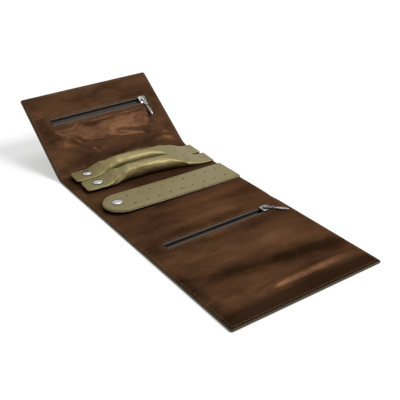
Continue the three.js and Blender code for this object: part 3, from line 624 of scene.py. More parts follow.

# %% [markdown]
# Bands of painted shade and painted highlight go into the satin's colour: dark ones where shade falls across
# the lining, light ones along folds that catch the light, such as the ridge near the free edge. The same kind
# of line draws these bands, with a share of tone as its last number, and they go to the shader as an
# attribute.
#
# The last stretch, near the free edge, is a piece of its own that moves with the lower panel. It lies on the
# flap when the folder is closed.
#
# The sheet itself comes next. Its rim rolls down to the leather, and a seam runs 2 mm inside it, where the
# thread pulls the satin into a shallow groove. The same groove runs round each window, 2.4 mm outside it.

# %% Lining
# Bands of painted shade (negative share) and painted highlight (positive share): x0, s0, x1, s1, width,
# share.
painted_bands = [
    (-62, -200, 24, -216, 10.0, -0.33), (10, -213, 90, -221, 10.0, -0.33), (-52, -147, 56, -153, 6.0, -0.25),
    (-40, -80, 74, -88, 8.0, 0.15), (-84, -108, -20, -104, 9.0, -0.1), (-88, -180, -84, -262, 8.0, -0.3),
    (-40, -62, 80, -66, 8.0, 0.35), (-40, -180, 60, -186, 14.0, 0.2), (-60, -226, 0, -232, 8.0, 0.15),
    (-34, -245, 84, -253, 3.2, 0.45), (-74, -98, 60, -98, 7.0, 0.4), (66, 118, 84, 132, 9.0, 0.3),
    (-84, 94, 50, 96, 9.0, -0.25), (-84, 186, 84, 188, 14.0, -0.08),
]
inset, seam_in, window_seam = 1.6, 3.7, 2.4
lining_half = half_width - inset


def seam_groove(x, s):
    """Depth that the thread pulls down: a narrow bell at the seam's distance from the edge or window."""
    depth = 0.32 * bell((edge_distance(x, s) - seam_in) / 0.75)
    for at in zips.values():
        depth = depth + 0.22 * bell((window_gap(x, s, at) - window_seam) / 0.6)
    return depth


def lining_face(x, s):
    """Height of the finished face: the soft height, less the groove, rolled down at rim and window."""
    roll = 0.45 * (1 - rounded((edge_distance(x, s) - inset) / 0.9))
    for at in zips.values():
        gap = window_gap(x, s, at)
        roll = roll + 0.3 * (1 - np.clip(gap / 0.9, 0, 1)) ** 2 * (gap > -0.01)
    return lining_height(x, s) - seam_groove(x, s) - roll


def lining_part(name, s0, s1):
    """A grid of cells of about 1.5 mm, finer at the rim and the windows, without the windows' cells."""
    rim = [0.0, 0.15, 0.4, 0.9, 1.6, 2.3, 3.0, 3.9]
    window_rim = [0, 0.4, 0.9, 1.8, 2.4, 3.2]
    low, high = max(s0, free_edge + inset), min(s1, flap_edge - inset)
    fixed_x = both_sides(lining_half - d for d in rim)
    fixed_x += [edge + side * d for edge, side in zip(window_x, (-1, 1)) for d in window_rim]
    fixed_s = [low + hair, high - hair]
    fixed_s += [free_edge + inset + d for d in rim] + [flap_edge - inset - d for d in rim]
    fixed_s += [at + d for at in zips.values() for d in both_sides(window_half + d for d in window_rim)]
    xs = stations(-lining_half, lining_half, 1.6, fixed_x)
    ss = stations(low, high, 1.4, fixed_s)
    x, s = np.meshgrid(xs, ss)
    face = lining_face(x, s)
    window_length = window_x[1] - window_x[0]
    in_x = cells_inside(xs, [sum(window_x) / 2], window_length / 2)
    keep = ~np.outer(cells_inside(ss, zips.values(), window_half), in_x)
    x, s = round_corners(x, s, free_edge, flap_edge, corner_radius)
    piece, used = cloth_piece(name, x, s, face, face - lining_thickness, lining_satin, keep)
    # The bands of painted shade and highlight, summed at each point, go to the satin as an attribute.
    painted_light = sum(ridge(x, s, line) for line in painted_bands).ravel()[used]
    piece.data.attributes.new("painted_light", "FLOAT", "POINT").data.foreach_set("value", painted_light)
    return piece


cad_linings = {"upper": ["centre_lining", "upper_fold_lining"], "flap": ["flap_lining"],
               "lower": ["lower_fold_lining"], "panel": ["lower_lining"]}
split_edge = -192.0
for part, (s0, s1, *_) in spans.items():
    cloth = lining_part(f"satin_lining_{part}", max(s0, split_edge), s1)
    follow(cloth, part)
    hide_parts(*cad_linings[part])
    tell(cloth)
cloth = lining_part("satin_lining_edge", free_edge, split_edge)
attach(cloth, "lower_panel")
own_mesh(cloth)
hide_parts("lower_lining")
tell(cloth)

# %% [markdown]
# ## Stitches
#
# A machine seam shows on top as a row of short threads that dive into the cloth at both ends. Each is a
# small spindle with six sides, and all stitches of a row are one mesh, because there are hundreds. A row
# follows points on the finished face, so the thread sinks into the groove that the lining has there.

# %% Thread and stitch rows
def waxed_thread(name, code):
    """Polyester thread: matt, with a fine twist that is only a little darker."""
    material, tree, shader = new_material(name, roughness=0.55)
    where = add_node(tree, "ShaderNodeTexCoord").outputs["Object"]
    dark = tuple(0.6 * c for c in colour(code)[:3]) + (1.0,)
    two_tones(tree, shader, noise(tree, where, 0.0012), dark, colour(code))
    return material


tan_thread = waxed_thread("tan_polyester_thread", "#a07b50")
olive_thread = waxed_thread("olive_polyester_thread", "#b9ae80")


def ring_quads(lower, upper):
    """Quads from the points of each ring to those of the next; the last index runs round the ring."""
    return np.stack([lower, np.roll(lower, -1, -1), np.roll(upper, -1, -1), upper], -1).reshape(-1, 4)


def spindles(points, ahead, normal, length, radius):
    """Rings of six points along each stitch: radius times the root of 1 - t squared, bowed up by a third."""
    t = np.array([-1.0, -0.75, 0.0, 0.75, 1.0])
    swell = radius * np.sqrt(np.clip(1.06 - t * t, 0.05, 1))
    lift = radius * (0.9 * (1 - t * t) - 0.35)
    turn = np.arange(6) * np.pi / 3
    side = np.cross(normal, ahead)
    along = points[:, None, :] + ahead[:, None, :] * (t * length / 2)[None, :, None]
    along = along + normal[:, None, :] * lift[None, :, None]
    ring = side[:, None, None, :] * np.cos(turn)[None, None, :, None]
    ring = ring + normal[:, None, None, :] * np.sin(turn)[None, None, :, None]
    rings = along[:, :, None, :] + ring * swell[None, :, None, None]
    index = np.arange(rings[..., 0].size).reshape(rings.shape[:3])
    faces = ring_quads(index[:, :-1], index[:, 1:])
    first, last = index[:, 0], index[:, 4]
    ends = [first[:, [5, 4, 3, 2]], first[:, [5, 2, 1, 0]], last[:, :4], last[:, [0, 3, 4, 5]]]
    return rings.reshape(-1, 3), np.concatenate([faces, *ends])


def stitch_row(x, s, face, pitch, length, radius, keep=None):
    """Spreads stitches evenly along the flat points x, s, and stands them on face(x, s) with its normal."""
    walked = np.r_[0, np.cumsum(np.hypot(np.diff(x), np.diff(s)))]
    count = max(1, int(round(walked[-1] / pitch)))
    at = (np.arange(count) + 0.5) * walked[-1] / count
    near, back, front = [(np.interp(at + d, walked, x), np.interp(at + d, walked, s))
                         for d in (0, -0.4, 0.4)]
    if keep is not None:
        chosen = keep(*near)
        near, back, front = [(a[chosen], b[chosen]) for a, b in (near, back, front)]
    step = 0.2
    points = face(*near)
    ahead = face(*front) - face(*back)
    ahead /= np.linalg.norm(ahead, axis=-1, keepdims=True)
    normal = np.cross(face(near[0] + step, near[1]) - face(near[0] - step, near[1]),
                      face(near[0], near[1] + step) - face(near[0], near[1] - step))
    normal /= np.linalg.norm(normal, axis=-1, keepdims=True)
    return spindles(points, ahead, normal, length, radius)


def merge(parts):
    """One set of points and faces from several."""
    shift = np.cumsum([0] + [len(p) for p, _ in parts[:-1]])
    return np.concatenate([p for p, _ in parts]), np.concatenate([f + n for (_, f), n in zip(parts, shift)])


def on_lining(x, s):
    """The finished satin face as a place in the model."""
    return place(x, s, lining_face(x, s))


# %% [markdown]
# The rim's seam runs round the whole strip, so its path is a rounded rectangle. Each part of the folder keeps
# the stitches on its own stretch. The windows have a rectangle each.

# %% Seams of the lining
def rounded_path(x0, x1, s0, s1, radius, steps=9):
    """A closed rectangle whose corners are quarter circles, walked anticlockwise."""
    quarter = np.linspace(0, np.pi / 2, steps)
    centres = [(x1 - radius, s0 + radius, -np.pi / 2), (x1 - radius, s1 - radius, 0.0),
               (x0 + radius, s1 - radius, np.pi / 2), (x0 + radius, s0 + radius, np.pi)]
    x = np.concatenate([cx + radius * np.cos(quarter + a) for cx, _, a in centres])
    s = np.concatenate([cs + radius * np.sin(quarter + a) for _, cs, a in centres])
    return np.r_[x, x[0]], np.r_[s, s[0]]


rim_seam = rounded_path(-half_width + seam_in, half_width - seam_in, free_edge + seam_in,
                        flap_edge - seam_in, 1.5)
for part, (s0, s1, *_) in spans.items():
    rows = [stitch_row(*rim_seam, on_lining, pitch=3.1, length=2.4, radius=0.21,
                       keep=lambda x, s, s0=s0, s1=s1: (s > s0) & (s < s1))]
    if part in zips:
        out = window_half + window_seam
        frame_seam = rounded_path(window_x[0] - window_seam, window_x[1] + window_seam, zips[part] - out,
                                  zips[part] + out, 1.2, 4)
        rows.append(stitch_row(*frame_seam, on_lining, pitch=2.9, length=2.0, radius=0.17))
    seam = make_piece(f"seam_{part}", *merge(rows), material=tan_thread)
    follow(seam, part)
    tell(seam)

# %% [markdown]
# ## Metal
#
# Snaps, sliders and pulls are brass or zinc with a bright nickel plate, tumbled rather than polished. Nickel
# is a warm grey mirror; fine tumbling marks show only as uneven gloss, so noise drives the roughness and the
# bump stays tiny. On the zips shade is painted into the plate's colour: dark in each recess, which an
# occlusion node finds, and a lighter grey elsewhere. The zip's end stops are blackened.

# %% Nickel
def plated_metal(name, code, roughness, spread):
    """A metal whose roughness wanders by spread on a scale of two millimetres."""
    material, tree, shader = new_material(name, base_color=colour(code), roughness=roughness, metallic=1.0)
    marks = noise(tree, add_node(tree, "ShaderNodeTexCoord").outputs["Object"], 0.002, 3.0)
    gloss = remap(tree, marks, low=roughness - spread, high=roughness + spread)
    tree.links.new(gloss, shader.inputs["Roughness"])
    relief(tree, shader, (marks, 0.1, 0.00005))
    return material


nickel = plated_metal("tumbled_nickel_plate", "#b3b0ac", 0.22, 0.07)
zip_nickel = plated_metal("nickel_plate_painted_recess_shade", "#8d8b87", 0.15, 0.03)
tree = zip_nickel.node_tree
# Painted shade: the plate's colour goes dark in each recess that the occlusion node finds.
painted_recess_shade = add_node(tree, "ShaderNodeAmbientOcclusion", {"Distance": 0.0025}, samples=8).outputs["AO"]
two_tones(tree, tree.nodes["Principled BSDF"], remap(tree, painted_recess_shade, 0.4), colour("#24211f"),
          colour("#83817e"))
black_metal = plated_metal("blackened_brass", "#2a2523", 0.45, 0.1)
zinc = plated_metal("zinc_plated_steel", "#8d9296", 0.4, 0.08)


def finish_node(node, material):
    """Gives a CAD node its finish."""
    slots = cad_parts[node].data.materials
    slots.clear()
    slots.append(material)


finishes = [(nickel, ("_cap", "_socket", "_stud", "_post")), (zip_nickel, ("_slider", "_link", "_pull")),
            (black_metal, ("_stop",)), (zinc, ("magnet", "keeper")), (bonded_board, ("_board",))]
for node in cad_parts:
    for material, words in finishes:
        if any(word in node for word in words):
            finish_node(node, material)
print("nickel:", nickel.name)

# %% [markdown]
# ## Snap caps
#
# A cap is stamped from thin sheet: a low dome with a rolled edge. It is a profile turned round an axis, so
# the grid is profile by angle. It stands where the CAD cap stands, and leans with its strap.

# %% Snap caps
def lofted(rings, ends):
    """Quads between rings of points, and fans of triangles from the end rings to the two end points."""
    count = rings.shape[1]
    index = np.arange(rings.shape[0] * count).reshape(-1, count)
    points = np.concatenate([rings.reshape(-1, 3), ends])
    first, last = index[0], index[-1]
    fans = [np.stack([np.roll(first, -1), first, np.full(count, len(points) - 2)], -1),
            np.stack([last, np.roll(last, -1), np.full(count, len(points) - 1)], -1)]
    return points, ring_quads(index[:-1], index[1:]), np.concatenate(fans)


def revolved(profile, sides=56):
    """Turns a profile of (radius, height) pairs round Z; both ends of the profile lie on the axis."""
    angle = np.linspace(0, 2 * np.pi, sides, endpoint=False)
    r, z = np.array(profile).T[:, :, None]
    rings = np.stack([r * np.cos(angle), r * np.sin(angle), z + 0 * angle], axis=-1)
    return lofted(rings[1:-1], rings[[0, -1], 0])


def mixed_piece(name, points, quads, triangles, material):
    """A mesh of quads and triangles together."""
    mesh = bpy.data.meshes.new(name)
    mesh.from_pydata((points * 0.001).tolist(), [], quads.tolist() + triangles.tolist())
    mesh.polygons.foreach_set("use_smooth", np.ones(len(mesh.polygons), bool))
    return placed(name, mesh, material)


seam_x = half_width - 8.0
snap_lift = 3.6
cap_height = 2.2
dome = [(0, -2.0), (1.5, -2.0), (1.5, 0.0), (5.3, 0.0), (5.9, 0.08), (6.2, 0.3), (6.25, 0.6), (6.1, 0.9)]
bow = np.linspace(0.12, 1, 12)[:-1] * np.pi / 2
dome += [(6.1 * np.cos(b), 0.9 + 1.3 * np.sin(b) ** 0.9) for b in bow] + [(0, cap_height)]


def place_on(points, centre, yaw=0.0, tilt=0.0):
    """Tilts about Y, then turns about Z, then moves to the centre."""
    move = Matrix.Rotation(yaw, 3, "Z") @ Matrix.Rotation(tilt, 3, "Y")
    return points @ np.array(move).T + np.array(centre)


roll_span, tip_to_snap = 163, 17.6
straps = {"earring_strap": {"y": -23.3, "yaw": 0.0, "reach": 166.5, "snap": 150.6, "top": 5.6}}
for name, y, degrees in (("ring_roll_1", 56.2, 3.6), ("ring_roll_2", 24.0, 4.6)):
    yaw = np.radians(degrees)
    reach = roll_span / np.cos(yaw)
    straps[name] = {"y": y, "yaw": yaw, "reach": reach, "snap": reach - tip_to_snap, "top": 5.8}
for name, strap in straps.items():
    node = "earring_snap_cap" if name == "earring_strap" else f"{name}_snap_cap"
    low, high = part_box(node)
    centre = (np.array(low) + np.array(high)) * 500
    centre[2] = high[2] * 1000 - cap_height
    tilt = np.arctan(snap_lift / strap["snap"]) if name == "earring_strap" else 0.0
    points, quads, fans = revolved(dome)
    cap = mixed_piece(f"domed_{node}", place_on(points, centre, tilt=tilt), quads, fans, nickel)
    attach(cap, name)
    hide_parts(node)
    print(cap.name, "at", centre.round(1))

# %% [markdown]
# ## The earring strap
#
# Two strips of goatskin, glued and sewn round the edge, with two rows of punched holes. Its left end is a
# half circle and its right end is caught in the folder's seam, so it is one piece here from tip to seam. The
# grid starts as a rectangle. At the tip its square rings become half circles, and round each hole a small
# block of cells becomes rings too, so the hole's edge is a true circle.

# %% Strap with holes
strap_half = 43.5 / 2
seam_end = -7.0
strap_seam_in = 2.3
strap_sag, spread_from = 0.45, 14
hole_columns = [8.4 + 15.6 * i for i in range(9)]
hole_rows = (-10.5, 10.5)
hole_radius, hole_square, hole_block = 1.0, 0.9, 2.6


def strap_edge(u, v, reach):
    """Distance from a point of the unrounded strap to its outer edge."""
    return np.minimum(np.minimum(strap_half - np.abs(v), reach - u), u - seam_end)


def round_tip(u, v, reach):
    """Turns the square tip into a half circle: rings of the square keep their size as a radius."""
    pu = np.maximum(u - (reach - strap_half), 0)
    length = np.hypot(pu, v)
    share = np.where((pu > 0) & (length > 0), np.maximum(pu, np.abs(v)) / np.maximum(length, tiny), 1)
    return np.where(pu > 0, reach - strap_half + pu * share, u), v * share


def punch(u, v):
    """Moves the cells round each hole: at its rim they lie on a circle, further out they stay square."""
    new_u, new_v = u.copy(), v.copy()
    rim = np.full(u.shape, 99.0)
    for cu in hole_columns:
        for cv in hole_rows:
            pu, pv = u - cu, v - cv
            ring = np.maximum(np.abs(pu), np.abs(pv))
            length = np.maximum(np.hypot(pu, pv), tiny)
            near = ring < hole_block
            share = np.clip((ring - hole_square) / (hole_block - hole_square), 0, 1)
            radius = hole_radius + np.maximum(ring - hole_square, -hole_square * 0.99)
            scale = (1 - share) * radius / length + share
            new_u = np.where(near, cu + pu * scale, new_u)
            new_v = np.where(near, cv + pv * scale, new_v)
            rim = np.minimum(rim, ring - hole_square)
    return new_u, new_v, rim


def strap_lift(u, strap):
    """The strap rises evenly from its seam to its snap, and sags a little on the way."""
    along = np.clip(u / strap["snap"], 0, 1)
    return snap_lift * np.maximum(u, 0) / strap["snap"] - strap_sag * np.sin(np.pi * along)


def spread(u, v, reach, by):
    """Pushes the outer third of the strap outwards, away from its middle line and from the tip's centre."""
    pu = np.maximum(u - (reach - strap_half), 0)
    far = np.hypot(pu, v)
    share = by * rise((far - spread_from) / (strap_half - spread_from)) / np.maximum(far, tiny)
    return u + pu * share, v * (1 + share)


def hang_on_seam(piece, nodes=()):
    """Bakes the piece's place into its mesh, hides the CAD nodes given and prints how many faces it has."""
    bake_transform(piece)
    if nodes:
        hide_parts(*nodes)
    tell(piece)


def strap_layer(name, top, thickness, crown, material, nodes, proud=0.0):
    """Both faces of one strip: an edge rounded over half its thickness, a crown, and a dip at each hole."""
    strap = straps["earring_strap"]
    reach = strap["reach"]
    near = [0.0, 0.05, 0.2, 0.45, 0.9, 1.6, 2.2, 2.8, 3.6]
    block = both_sides([0, 0.45, hole_square, 1.7, hole_block])
    fixed_u = [seam_end + d for d in near] + [reach - d for d in near] + [0.0, reach - strap_half]
    fixed_u += [cu + b for cu in hole_columns for b in block]
    fixed_v = both_sides(strap_half - d for d in near) + [cv + b for cv in hole_rows for b in block]
    us = stations(seam_end, reach, 2.2, fixed_u)
    vs = stations(-strap_half, strap_half, 1.8, fixed_v)
    u, v = np.meshgrid(us, vs)
    edge = strap_edge(u, v, reach)
    u, v, rim = punch(u, v)
    u, v = round_tip(u, v, reach)
    u, v = spread(u, v, reach, proud)
    half = thickness / 2
    over = half * (0.12 + 0.88 * rounded(edge / half))
    face = 0 * edge
    if crown > 0:
        groove, dip = 0.35 * bell((edge - strap_seam_in) / 0.45), 0.3 * bell(np.maximum(rim, 0) / 0.8)
        face = crown * rise(edge / 7.0) - groove - dip + 0.1 * waves(u, v, 6, 40.0, 3)
    middle = strap["top"] + top - half + strap_lift(u, strap)
    x, y = seam_x - u, strap["y"] + v
    upper = np.stack([x, y, middle + over + face], -1)
    lower = np.stack([x, y, middle - over], -1)
    holes = np.outer(cells_inside(vs, hole_rows, hole_square), cells_inside(us, hole_columns, hole_square))
    points, faces, _, walls = closed_sheet(upper[:, ::-1], lower[:, ::-1], ~holes[:, ::-1])
    piece = make_piece(name, points, faces, None, material, walls)
    hang_on_seam(piece, nodes)


strap_layer("earring_strap_face", 0.0, thickness=1.1, crown=0.25, material=strap_leather,
            nodes=["earring_strap_top", "earring_strap_sewn_end"])
strap_layer("earring_strap_back", -1.4, thickness=0.8, crown=0.0, material=pale_split,
            nodes=["earring_strap_backing"], proud=0.7)

# %% [markdown]
# The strap's seam is sewn 2.3 mm inside its edge with a thicker thread, so its stitches read as a light
# dashed line along both sides and round the tip.

# %% Strap seam
def on_strap(u, v):
    """The strap's top face at a point of the rounded outline."""
    strap = straps["earring_strap"]
    return np.stack([seam_x - u, strap["y"] + v, strap["top"] + strap_lift(u, strap) + 0 * v + 0.02], -1)


reach = straps["earring_strap"]["reach"]
inner = strap_half - strap_seam_in
bend = np.linspace(-np.pi / 2, np.pi / 2, 25)
seam_u = np.r_[seam_end + 1.5, reach - strap_half + inner * np.cos(bend), seam_end + 1.5]
seam_v = np.r_[-inner, inner * np.sin(bend), inner]
points, faces = stitch_row(seam_u, seam_v, on_strap, pitch=3.3, length=2.5, radius=0.26)
hang_on_seam(make_piece("earring_strap_seam", points, faces, material=olive_thread))

# %% [markdown]
# ## The ring rolls
#
# A roll is a goatskin tube, stuffed with felt, whose ends are flattened into tabs: one is sewn into the
# folder's seam, the other carries the snap. The skin can't stretch, so its girth stays the same while the
# section goes from a flat loop to a round one, and it gets narrower as it gets fuller. Where it changes, a
# shoulder runs up from the tab's front corner, and the spare skin puckers beside it.

# %% Roll as a surface
roll_radius, roll_tab, roll_start, roll_corner = 9.1, 2.4, -7.2, 5.0
tip_taper, seam_taper, tip_tab, seam_tab = 40.0, 66.0, 21.0, 2.0
roll_lean = np.radians(16.0)


def roll_section(u, reach):
    """Half height, half width, lift and lean at the distance u from the seam, from two soft steps."""
    tube_start = seam_tab + seam_taper
    tube_end = reach - tip_tab - tip_taper
    full = rise((u - seam_tab) / seam_taper) * rise((tube_end + tip_taper - u) / tip_taper)
    centre = (tube_start + tube_end) / 2
    swell = 0.4 * (1 - np.minimum(1, ((u - centre) / (tube_end - centre)) ** 2))
    thick = roll_tab / 2 + (roll_radius + swell - roll_tab / 2) * full
    girth = 2 * np.pi * roll_radius
    wide = thick + np.maximum(0, (girth - 2 * np.pi * thick) / 4)
    lift = snap_lift * rise((u - tube_end - 0.3 * tip_taper) / (0.7 * tip_taper))
    return thick, wide, lift, full, roll_lean * 4 * full * (1 - full)


def around_section(flat, thick, count):
    """Points and normals at equal steps round a flattened tube: half round, flat, half round, flat."""
    length = 2 * np.pi * thick + 4 * flat
    walked = ((np.arange(count) + 0.5) / count * length - flat) % length
    far = np.clip(walked, 0, np.pi * thick)
    top = np.clip(walked - np.pi * thick, 0, 2 * flat)
    near = np.clip(walked - np.pi * thick - 2 * flat, 0, np.pi * thick)
    under = np.clip(walked - 2 * np.pi * thick - 2 * flat, 0, 2 * flat)
    angle = -np.pi / 2 + (far + near) / thick
    shift = flat - top + under
    return shift + thick * np.cos(angle), thick * np.sin(angle), np.cos(angle), np.sin(angle)


def roll_surface(name):
    """Sections set one after another from seam to tip, with small puckers along each section's normal."""
    strap = straps[name]
    reach = strap["reach"]
    ends = [0.0, 0.1, 0.35, 0.8, 1.5, 2.6, 4.0, 5.5]
    fixed = [reach - d for d in ends] + [roll_start + d for d in ends[:4]]
    us = stations(roll_start, reach, 1.25, fixed)[:, None]
    thick, wide, lift, full, lean = roll_section(us, reach)
    past = np.maximum(0, us - (reach - roll_corner))
    cut = roll_corner - np.sqrt(np.maximum(roll_corner ** 2 - past ** 2, 0))
    flat = np.maximum(wide - thick - cut, 0)
    count = 72
    a, b, side, up = around_section(flat, thick, count)
    end = np.minimum(us - roll_start, reach - us)
    b = b * (rounded(end / 1.2) * 0.85 + 0.15)
    turn = (np.arange(count) + 0.5)[None, :] / count * 2 * np.pi
    seed = 3 if name.endswith("1") else 8
    crease = np.sin(us / 2.7 + 2.0 * np.sin(turn * 2 + seed) + seed)
    near_tab = bell((us - (reach - tip_tab - 10)) / 13) + 0.7 * bell((us - 16) / 12)
    soft = 0.3 * waves(us + 0 * a, turn * 9 + 0 * a, 10, 34.0, seed) * full
    proud = 0.15 * near_tab * crease * (0.3 + 0.7 * full) + soft
    a, b = a + side * proud, b + up * proud
    v = a * np.cos(lean) - b * np.sin(lean)
    w = lift + thick + flat * np.sin(lean) + a * np.sin(lean) + b * np.cos(lean) - roll_tab
    grid = np.stack([-us + 0 * v, v, w], -1)
    points = place_on(grid.reshape(-1, 3), (seam_x, strap["y"], strap["top"]), yaw=-strap["yaw"])
    index = np.arange(grid.shape[0] * count).reshape(-1, count)
    lower, upper = index[:-1], index[1:]
    faces = np.stack([lower, upper, np.roll(upper, -1, 1), np.roll(lower, -1, 1)], -1).reshape(-1, 4)
    strip = np.arange(-count // 4, count // 4 - 1)
    pair = np.stack([strip, strip + 1, count // 2 - 2 - strip, count // 2 - 1 - strip], -1) % count
    return points, np.concatenate([faces, index[0][pair], index[-1][pair[:, ::-1]]])


# %% [markdown]
# The skin then gets its own slack from a cloth simulation. Both ends are held, air presses from inside as the
# felt does, and the skin is a little too long for the tube, so it buckles where the tube meets its tabs.
# Twenty frames are enough. No point may move further than a small limit, which keeps the roll clear of the
# satin.

# %% Cloth on the rolls
def puff(piece, held, limit, pressure, slack, frames=20):
    """Runs Cloth with pressure on the piece, then writes the capped movement into its mesh."""
    group = piece.vertex_groups.new(name="held")
    for index, weight in enumerate(held):
        group.add([index], float(weight), "REPLACE")
    cloth = piece.modifiers.new("air", "CLOTH")
    for key, value in {"quality": 6, "mass": 0.1, "bending_stiffness": 0.1, "use_pressure": True,
                       "uniform_pressure_force": pressure, "shrink_min": -slack,
                       "vertex_group_mass": "held"}.items():
        setattr(cloth.settings, key, value)
    cloth.settings.effector_weights.gravity = 0
    cloth.point_cache.frame_end = frames
    for step in range(1, frames + 1):
        scene.frame_set(step)
    result = piece.evaluated_get(bpy.context.evaluated_depsgraph_get()).data
    before = np.empty(len(held) * 3)
    after = np.empty(len(held) * 3)
    piece.data.vertices.foreach_get("co", before)
    result.vertices.foreach_get("co", after)
    move = (after - before).reshape(-1, 3)
    far = np.linalg.norm(move, axis=1, keepdims=True)
    print("moved at most", (far.max() * 1000).round(2), "mean", (far.mean() * 1000).round(3), "mm")
    move *= limit * np.tanh(far / limit) / np.maximum(far, tiny)
    move[:, 2] = np.maximum(move[:, 2], -0.0001)
    piece.modifiers.clear()
    piece.vertex_groups.clear()
    scene.frame_set(1)
    piece.data.vertices.foreach_set("co", (before.reshape(-1, 3) + move).ravel())
    piece.data.update()


for name in ("ring_roll_1", "ring_roll_2"):
    roll = make_piece(f"stuffed_{name}", *roll_surface(name), None, strap_leather)
    places = np.array([v.co for v in roll.data.vertices]) * 1000 - (seam_x, straps[name]["y"], 0)
    yaw = straps[name]["yaw"]
    along = -places[:, 0] * np.cos(yaw) + places[:, 1] * np.sin(yaw)
    full = roll_section(along, straps[name]["reach"])[3]
    puff(roll, 1 - rise((full - 0.02) / 0.3), limit=0.0012, pressure=4.0, slack=0.03)
    hang_on_seam(roll, [f"{name}_cover", f"{name}_core", f"{name}_sewn_end"])

# %% [markdown]
# ## Zips
#
# Each zip is a pair of woven tapes. Their inner edges carry the teeth underneath and show on top as a
# rounded bead, because this is the kind of zip that is sewn in face down. The tapes are soft, so the bead
# wanders a little. The weave is a fine rib across the tape, 0.6 mm apart.

# %% Zip tapes
def rib_weave(name, dark, light):
    """Ribs across the tape from a wave on its length, with noise so that they aren't perfect."""
    material, tree, shader = new_material(name, roughness=0.8, sheen_weight=0.15)
    where = add_node(tree, "ShaderNodeUVMap", uv_map="UVMap").outputs["UV"]
    rib_pitch = 0.0006
    ribs = add_node(tree, "ShaderNodeTexWave", {"Vector": where, "Scale": 1 / (np.pi * rib_pitch),
                                                "Distortion": 0.8})
    two_tones(tree, shader, noise(tree, where, 0.006), colour(dark), colour(light))
    relief(tree, shader, (ribs.outputs[0], 0.3, 0.0001))
    return material


tape_weave = rib_weave("taupe_polyester_tape", "#51463f", "#6c5f58")
moulded_nylon = rib_weave("dark_nylon_teeth", "#231e1c", "#3a3230")
tape_level = {"flap": 8.25, "panel": 6.85}
zip_body = {"flap": "flap", "panel": "lower_panel"}
zip_word = {"flap": "flap", "panel": "lower"}
tape_edge, tape_reach = 3.85, 8.1


def zip_tape(name, part, side):
    """Across the tape a bead and a hem line, along it slow waves; both faces are half a millimetre apart."""
    across = np.array([tape_edge, 3.9, 4.05, 4.3, 4.6, 4.9, 5.2, 5.5, 6.0, 6.6, 7.3, 8.0, tape_reach])
    along = stations(window_x[0] - 1.9, window_x[1] + 1.9, 1.5)
    x, a = np.meshgrid(along, across if side > 0 else -across[::-1])
    distance = np.abs(a)
    bead = 0.42 * bell((distance - 4.55) / 0.42)
    wander = 0.1 * waves(x, a * 0 + side * 3, 5, 60.0, 4) * rise((tape_reach - distance) / 4)
    edge = np.minimum(distance - tape_edge, tape_reach - distance)
    thick = 0.04 + 0.21 * rounded(edge / 0.25)
    level = tape_level[part] + wander * 0.6
    return cloth_piece(name, x, zips[part] + a, level + thick + bead, level - thick, tape_weave)[0]


for part in zips:
    for word, side in (("upper", 1), ("lower", -1)):
        tape = zip_tape(f"{zip_word[part]}_tape_{word}", part, side)
        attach(tape, zip_body[part])
        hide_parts(f"{zip_word[part]}_zip_tape_{word}")
        finish_node(f"{zip_word[part]}_zip_teeth_{word}", moulded_nylon)
        tell(tape)

# %% [markdown]
# ## Sliders, links and pulls
#
# They are cast in zinc, so their edges are round, and round edges are what catches the light on metal this
# small. Slider and link keep the CAD model's form, with a bevel on each edge. The pull is a slim leaf with a
# domed face. Its rings are drawn along its own heading on the flat strip, and a ring round the link's pin
# holds it.

# %% Zip hardware
def rounded_copy(node, width):
    """A copy of a CAD node with merged corners, whole flats and bevelled edges."""
    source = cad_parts[node]
    mesh = source.data.copy()
    mesh.transform(source.matrix_world)
    shape = bmesh.new()
    shape.from_mesh(mesh)
    bmesh.ops.remove_doubles(shape, verts=shape.verts, dist=2e-6)
    bmesh.ops.dissolve_limit(shape, angle_limit=np.radians(1), verts=shape.verts, edges=shape.edges)
    sharp = [e for e in shape.edges if len(e.link_faces) == 2 and e.calc_face_angle() > np.radians(30)]
    bmesh.ops.bevel(shape, geom=sharp, offset=width * 0.001, segments=2, profile=0.5, affect="EDGES",
                    clamp_overlap=True)
    for face in shape.faces:
        face.smooth = True
    shape.to_mesh(mesh)
    shape.free()
    mesh.materials.clear()
    return placed(f"cast_{node}", mesh, zip_nickel)


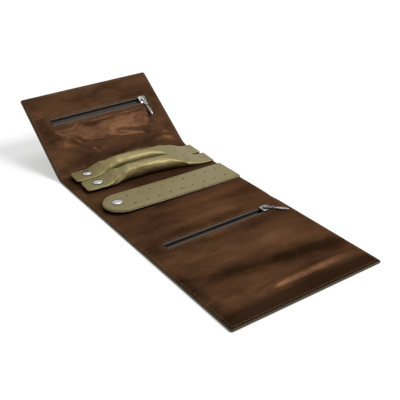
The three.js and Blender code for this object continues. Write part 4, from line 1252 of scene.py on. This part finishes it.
def leaf_pull():
    """Along, across and up from the pin: a leaf that widens softly and ends in an ellipse, and a knuckle."""
    tip = 18 - 4 * np.cos(np.linspace(0.2, np.pi / 2 - 0.02, 12))
    t = np.r_[1.15, np.linspace(1.6, 14, 18), tip][:, None]
    end = (1 - np.clip((t - 8.5) / 9.52, 0, 1) ** 2.2) ** 0.7
    wide = (1.0 + 1.25 * rise((t - 1.6) / 8)) * end
    sides, loop_sides = 28, 16
    turn = np.arange(sides) / sides * 2 * np.pi
    up = np.where(np.sin(turn) > 0, 0.62 + 0.42 * rise((t - 1.5) / 5), 0.5) * end ** 0.7
    leaf = np.stack(np.broadcast_arrays(t, wide * np.cos(turn), up * np.sin(turn)), -1)
    points, quads, triangles = lofted(leaf, leaf[[0, -1]].mean(1))
    loop = np.arange(loop_sides) / loop_sides * 2 * np.pi
    r = 1.2 + 0.25 * np.sign(np.cos(loop)) * np.abs(np.cos(loop)) ** 0.6
    w = 1.04 * np.sign(np.sin(loop)) * np.abs(np.sin(loop)) ** 0.6
    around = turn[:, None]
    knuckle = np.stack([r * np.cos(around), w + 0 * around, r * np.sin(around)], -1)
    index = np.arange(sides * loop_sides).reshape(sides, loop_sides) + len(points)
    rings = ring_quads(index, np.roll(index, -1, 0))
    return np.concatenate([points, knuckle.reshape(-1, 3)]), np.concatenate([quads, rings]), triangles


pins = {"flap": (63.8, 159.5, -84.0), "panel": (60.0, -132.5, -42.0)}
link_length, pin_lift, droop = 8.6, 2.8, np.radians(3.0)
for part, (post_x, post_s, heading) in pins.items():
    word = zip_word[part]
    for kind, width in (("slider", 0.4), ("link", 0.25)):
        cast = rounded_copy(f"{word}_zip_{kind}", width)
        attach(cast, f"{word}_{kind}")
        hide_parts(f"{word}_zip_{kind}")
        tell(cast)
    points, quads, triangles = leaf_pull()
    t, w, n = points.T
    along = link_length + t * np.cos(droop) + n * np.sin(droop)
    height = n * np.cos(droop) - t * np.sin(droop)
    cos, sin = np.cos(np.radians(heading)), np.sin(np.radians(heading))
    points = place(post_x + along * cos - w * sin, post_s + along * sin + w * cos,
                   tape_level[part] + pin_lift + height)
    pull = mixed_piece(f"{word}_leaf_pull", points, quads, triangles, zip_nickel)
    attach(pull, f"{word}_pull")
    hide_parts(f"{word}_zip_pull")
    tell(pull)

# %% [markdown]
# The pocket's inner bag is a plain cotton that shows only through the open mouth. It lies on the panel and
# comes up a little under the mouth. Its far end is where the CAD model's pocket has nearly come down.

# %% Pocket bags
bag_rise = {"flap": 2.2, "panel": 0.2}
bag_seam, bag_half, bag_margin = 0.32, 83.7, 8.2
bag_reach = {"flap": 45.0 - bag_seam * 32.0, "panel": 58.0 - bag_seam * 44.0}
for part, at in zips.items():
    xs = stations(-bag_half, bag_half, 3.0)
    x, s = np.meshgrid(xs, stations(at - bag_reach[part], at + bag_margin, 1.5))
    hump = bag_rise[part] * bell((s - at) / 4.5) * rise((bag_half - np.abs(x)) / 12)
    level = 2.7 + hump + 0.06 * waves(x, s, 6, 25.0, 9)
    bag, _ = cloth_piece(f"{zip_word[part]}_pocket_bag", x, s, level + 0.25, level, pocket_cotton)
    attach(bag, zip_body[part])
    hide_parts(f"{zip_word[part]}_pocket_back")
    tell(bag)
